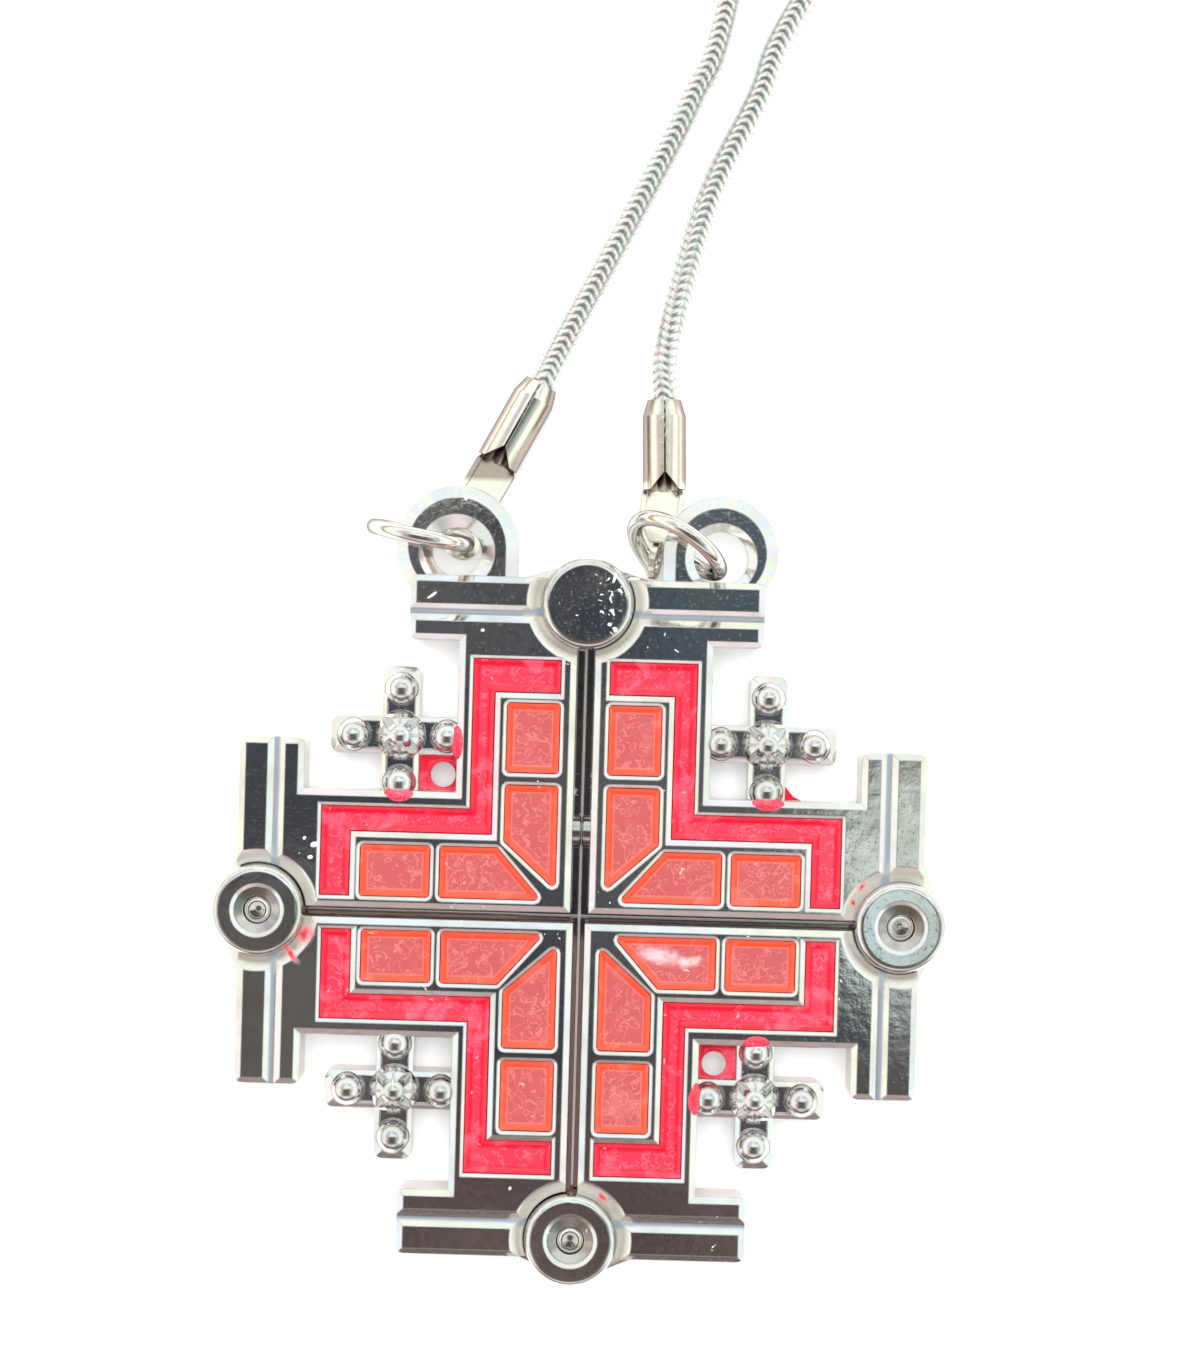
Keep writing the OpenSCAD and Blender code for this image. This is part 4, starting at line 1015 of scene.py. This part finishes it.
def chain_skin(name, route, twist, node):
    """Rows follow the rings and columns run round. A point's distance along the strand is its row plus a
    triangle wave of the angle, and its radius is the strand's, less a groove between rings and a faint
    fold."""
    curve = smooth_route(np.array(route, float))
    travelled, leftward, lifted = with_directions(curve)
    rings = int(travelled[-1] / RING_PITCH) - 1
    row = (np.arange(rings)[:, None] + IN_RING).ravel() + 0.5
    depth = np.tile(GROOVE, rings)[:, None]
    turn = np.arange(CHAIN_COLUMNS) / CHAIN_COLUMNS
    wave = 2 * np.abs(2 * (turn * WAVES % 1) - 1) - 1
    fold = np.abs(wave) ** 6
    s = np.clip((row[:, None] + ZIGZAG * wave) * RING_PITCH, 0, travelled[-1])
    radius = CHAIN_RADIUS - GROOVE_DEPTH * depth - FOLD_DEPTH * fold * (1 - depth)
    angle = 2 * np.pi * turn + twist * np.exp(-s / TWIST_FADES)

    def at(values):
        """The curve's values at each distance."""
        return np.stack([np.interp(s, travelled, values[:, k]) for k in range(3)], -1)

    out = np.cos(angle)[..., None] * at(leftward) + np.sin(angle)[..., None] * at(lifted)
    points = (at(curve) + radius[..., None] * out) * MM
    # The mark is low between the rings and along the folds, where the finish paints shade.
    marks = np.broadcast_to(1 - depth, s.shape) * (1 - 0.5 * fold)
    print(name, "is", round(travelled[-1], 1), "mm long with", rings, "rings")
    return grid_piece(name, points, chain_finish, (node,), marks)


chain_skin("snake_chain_left", CHAIN_ROUTES["left"], twist=0.3, node="chain_left")
chain_skin("snake_chain_right", CHAIN_ROUTES["right"], twist=2.2, node="chain_right")

# %% [markdown]
# ## Jump rings
# Each ring is a turn of round wire, cut once. The left one stands on edge and is shut, the right one has
# been sprung: its ends are twisted past each other. The wire is a circle carried round the turn, and both
# ends are drawn in a little, as a cutter leaves them.

# %% Bend the rings
RING_RADIUS = 2.6
WIRE_RADIUS = 0.43
RING_STEPS = 144
WIRE_SIDES = 24
HALF_CUT = 1.5
DRAWN_IN = 0.12
BLUNT = 0.03


def turned(points, axis, degrees):
    """Points turned about the x or z axis."""
    c, s = math.cos(math.radians(degrees)), math.sin(math.radians(degrees))
    matrix = {"x": [[1, 0, 0], [0, c, -s], [0, s, c]], "z": [[c, -s, 0], [s, c, 0], [0, 0, 1]]}[axis]
    return points @ np.array(matrix).T


def jump_ring(name, middle, yaw, lean, cut, sprung, node):
    """The centre line is a circle from one side of the cut round to the other, which rises evenly by sprung
    on each side. A point of the skin is the wire's radius away from it, along the turning outward
    direction, and the radius is drawn in near both ends."""
    past = np.linspace(HALF_CUT, 360 - HALF_CUT, RING_STEPS)
    a = np.radians(cut + past)
    centre = np.stack([RING_RADIUS * np.cos(a), RING_RADIUS * np.sin(a), sprung * (past / 180 - 1)], 1)
    outward = np.stack([np.cos(a), np.sin(a), np.zeros_like(a)], 1)
    upright = np.array([0, 0, 1.0])
    from_end = np.minimum(past - past[0], past[-1] - past) * math.pi / 180 * RING_RADIUS
    drawn = np.clip(1 - (from_end + BLUNT) / DRAWN_IN, 0, 1)
    wire = WIRE_RADIUS * np.sqrt(1 - drawn ** 2 * 0.5)
    side = np.linspace(0, 2 * np.pi, WIRE_SIDES, endpoint=False)
    around = np.cos(side)[None, :, None] * outward[:, None] + np.sin(side)[None, :, None] * upright
    points = centre[:, None] + wire[:, None, None] * around
    points = turned(turned(points, "x", lean), "z", yaw) + np.array(middle)
    return grid_piece(name, points * MM, finding_finish, (node,), flip=True)


jump_ring("wire_ring_left", middle=(-9.33, 20.94, 3.08), yaw=-9.9, lean=94, cut=181.5, sprung=0,
          node="jump_ring_left")
jump_ring("wire_ring_right", middle=(4.9, 20.67, 3.21), yaw=-38.2, lean=71.7, cut=-96, sprung=0.86,
          node="jump_ring_right")
print("rings:", 2 * RING_RADIUS + 2 * WIRE_RADIUS, "mm across")

# %% [markdown]
# ## The clasp
# The far end of the chain closes with a plain barrel clasp. It is a turned piece, so it is a profile
# carried round its axis: two halves with a seam between them, fluted for the fingers, and a collar at each
# end.

# %% Turn the clasp
CLASP_COLUMNS = 160
FLUTES = 20
FLUTE_DEPTH = 0.045
# Half the profile: the place along the axis, the radius, and 1 where it is fluted
HALF_PROFILE = [(-5.0, 0.95, 0), (-4.85, 1.15, 0), (-4.2, 1.25, 0), (-3.95, 1.0, 0), (-3.8, 1.35, 0),
                (-3.5, 1.6, 0), (-3.3, 1.6, 1), (-0.5, 1.6, 1), (-0.3, 1.6, 0), (-0.1, 1.5, 0), (0, 1.42, 0)]


def clasp_barrel():
    """The radius follows the profile along the axis, and in the fluted stretches it also falls by a cosine
    of twenty turns round."""
    low, high = (np.array(corner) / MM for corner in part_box("clasp"))
    middle = (low + high) / 2
    axis = np.subtract(CHAIN_ROUTES["right"][-1], CHAIN_ROUTES["left"][-1])
    axis /= np.linalg.norm(axis)
    half = np.array(HALF_PROFILE)
    profile = np.vstack([half, half[-2::-1] * [-1, 1, 1]])
    turn = np.linspace(0, 2 * np.pi, CLASP_COLUMNS, endpoint=False)
    radius = profile[:, 1, None] - FLUTE_DEPTH * profile[:, 2, None] * (1 - np.cos(FLUTES * turn))
    leftward = np.cross([0, 0, 1], axis)
    lifted = np.cross(axis, leftward)
    out = np.cos(turn)[:, None] * leftward + np.sin(turn)[:, None] * lifted
    points = middle + profile[:, 0, None, None] * axis + radius[..., None] * out
    return grid_piece("barrel_clasp", points * MM, finding_finish, ("clasp",))


clasp_barrel()
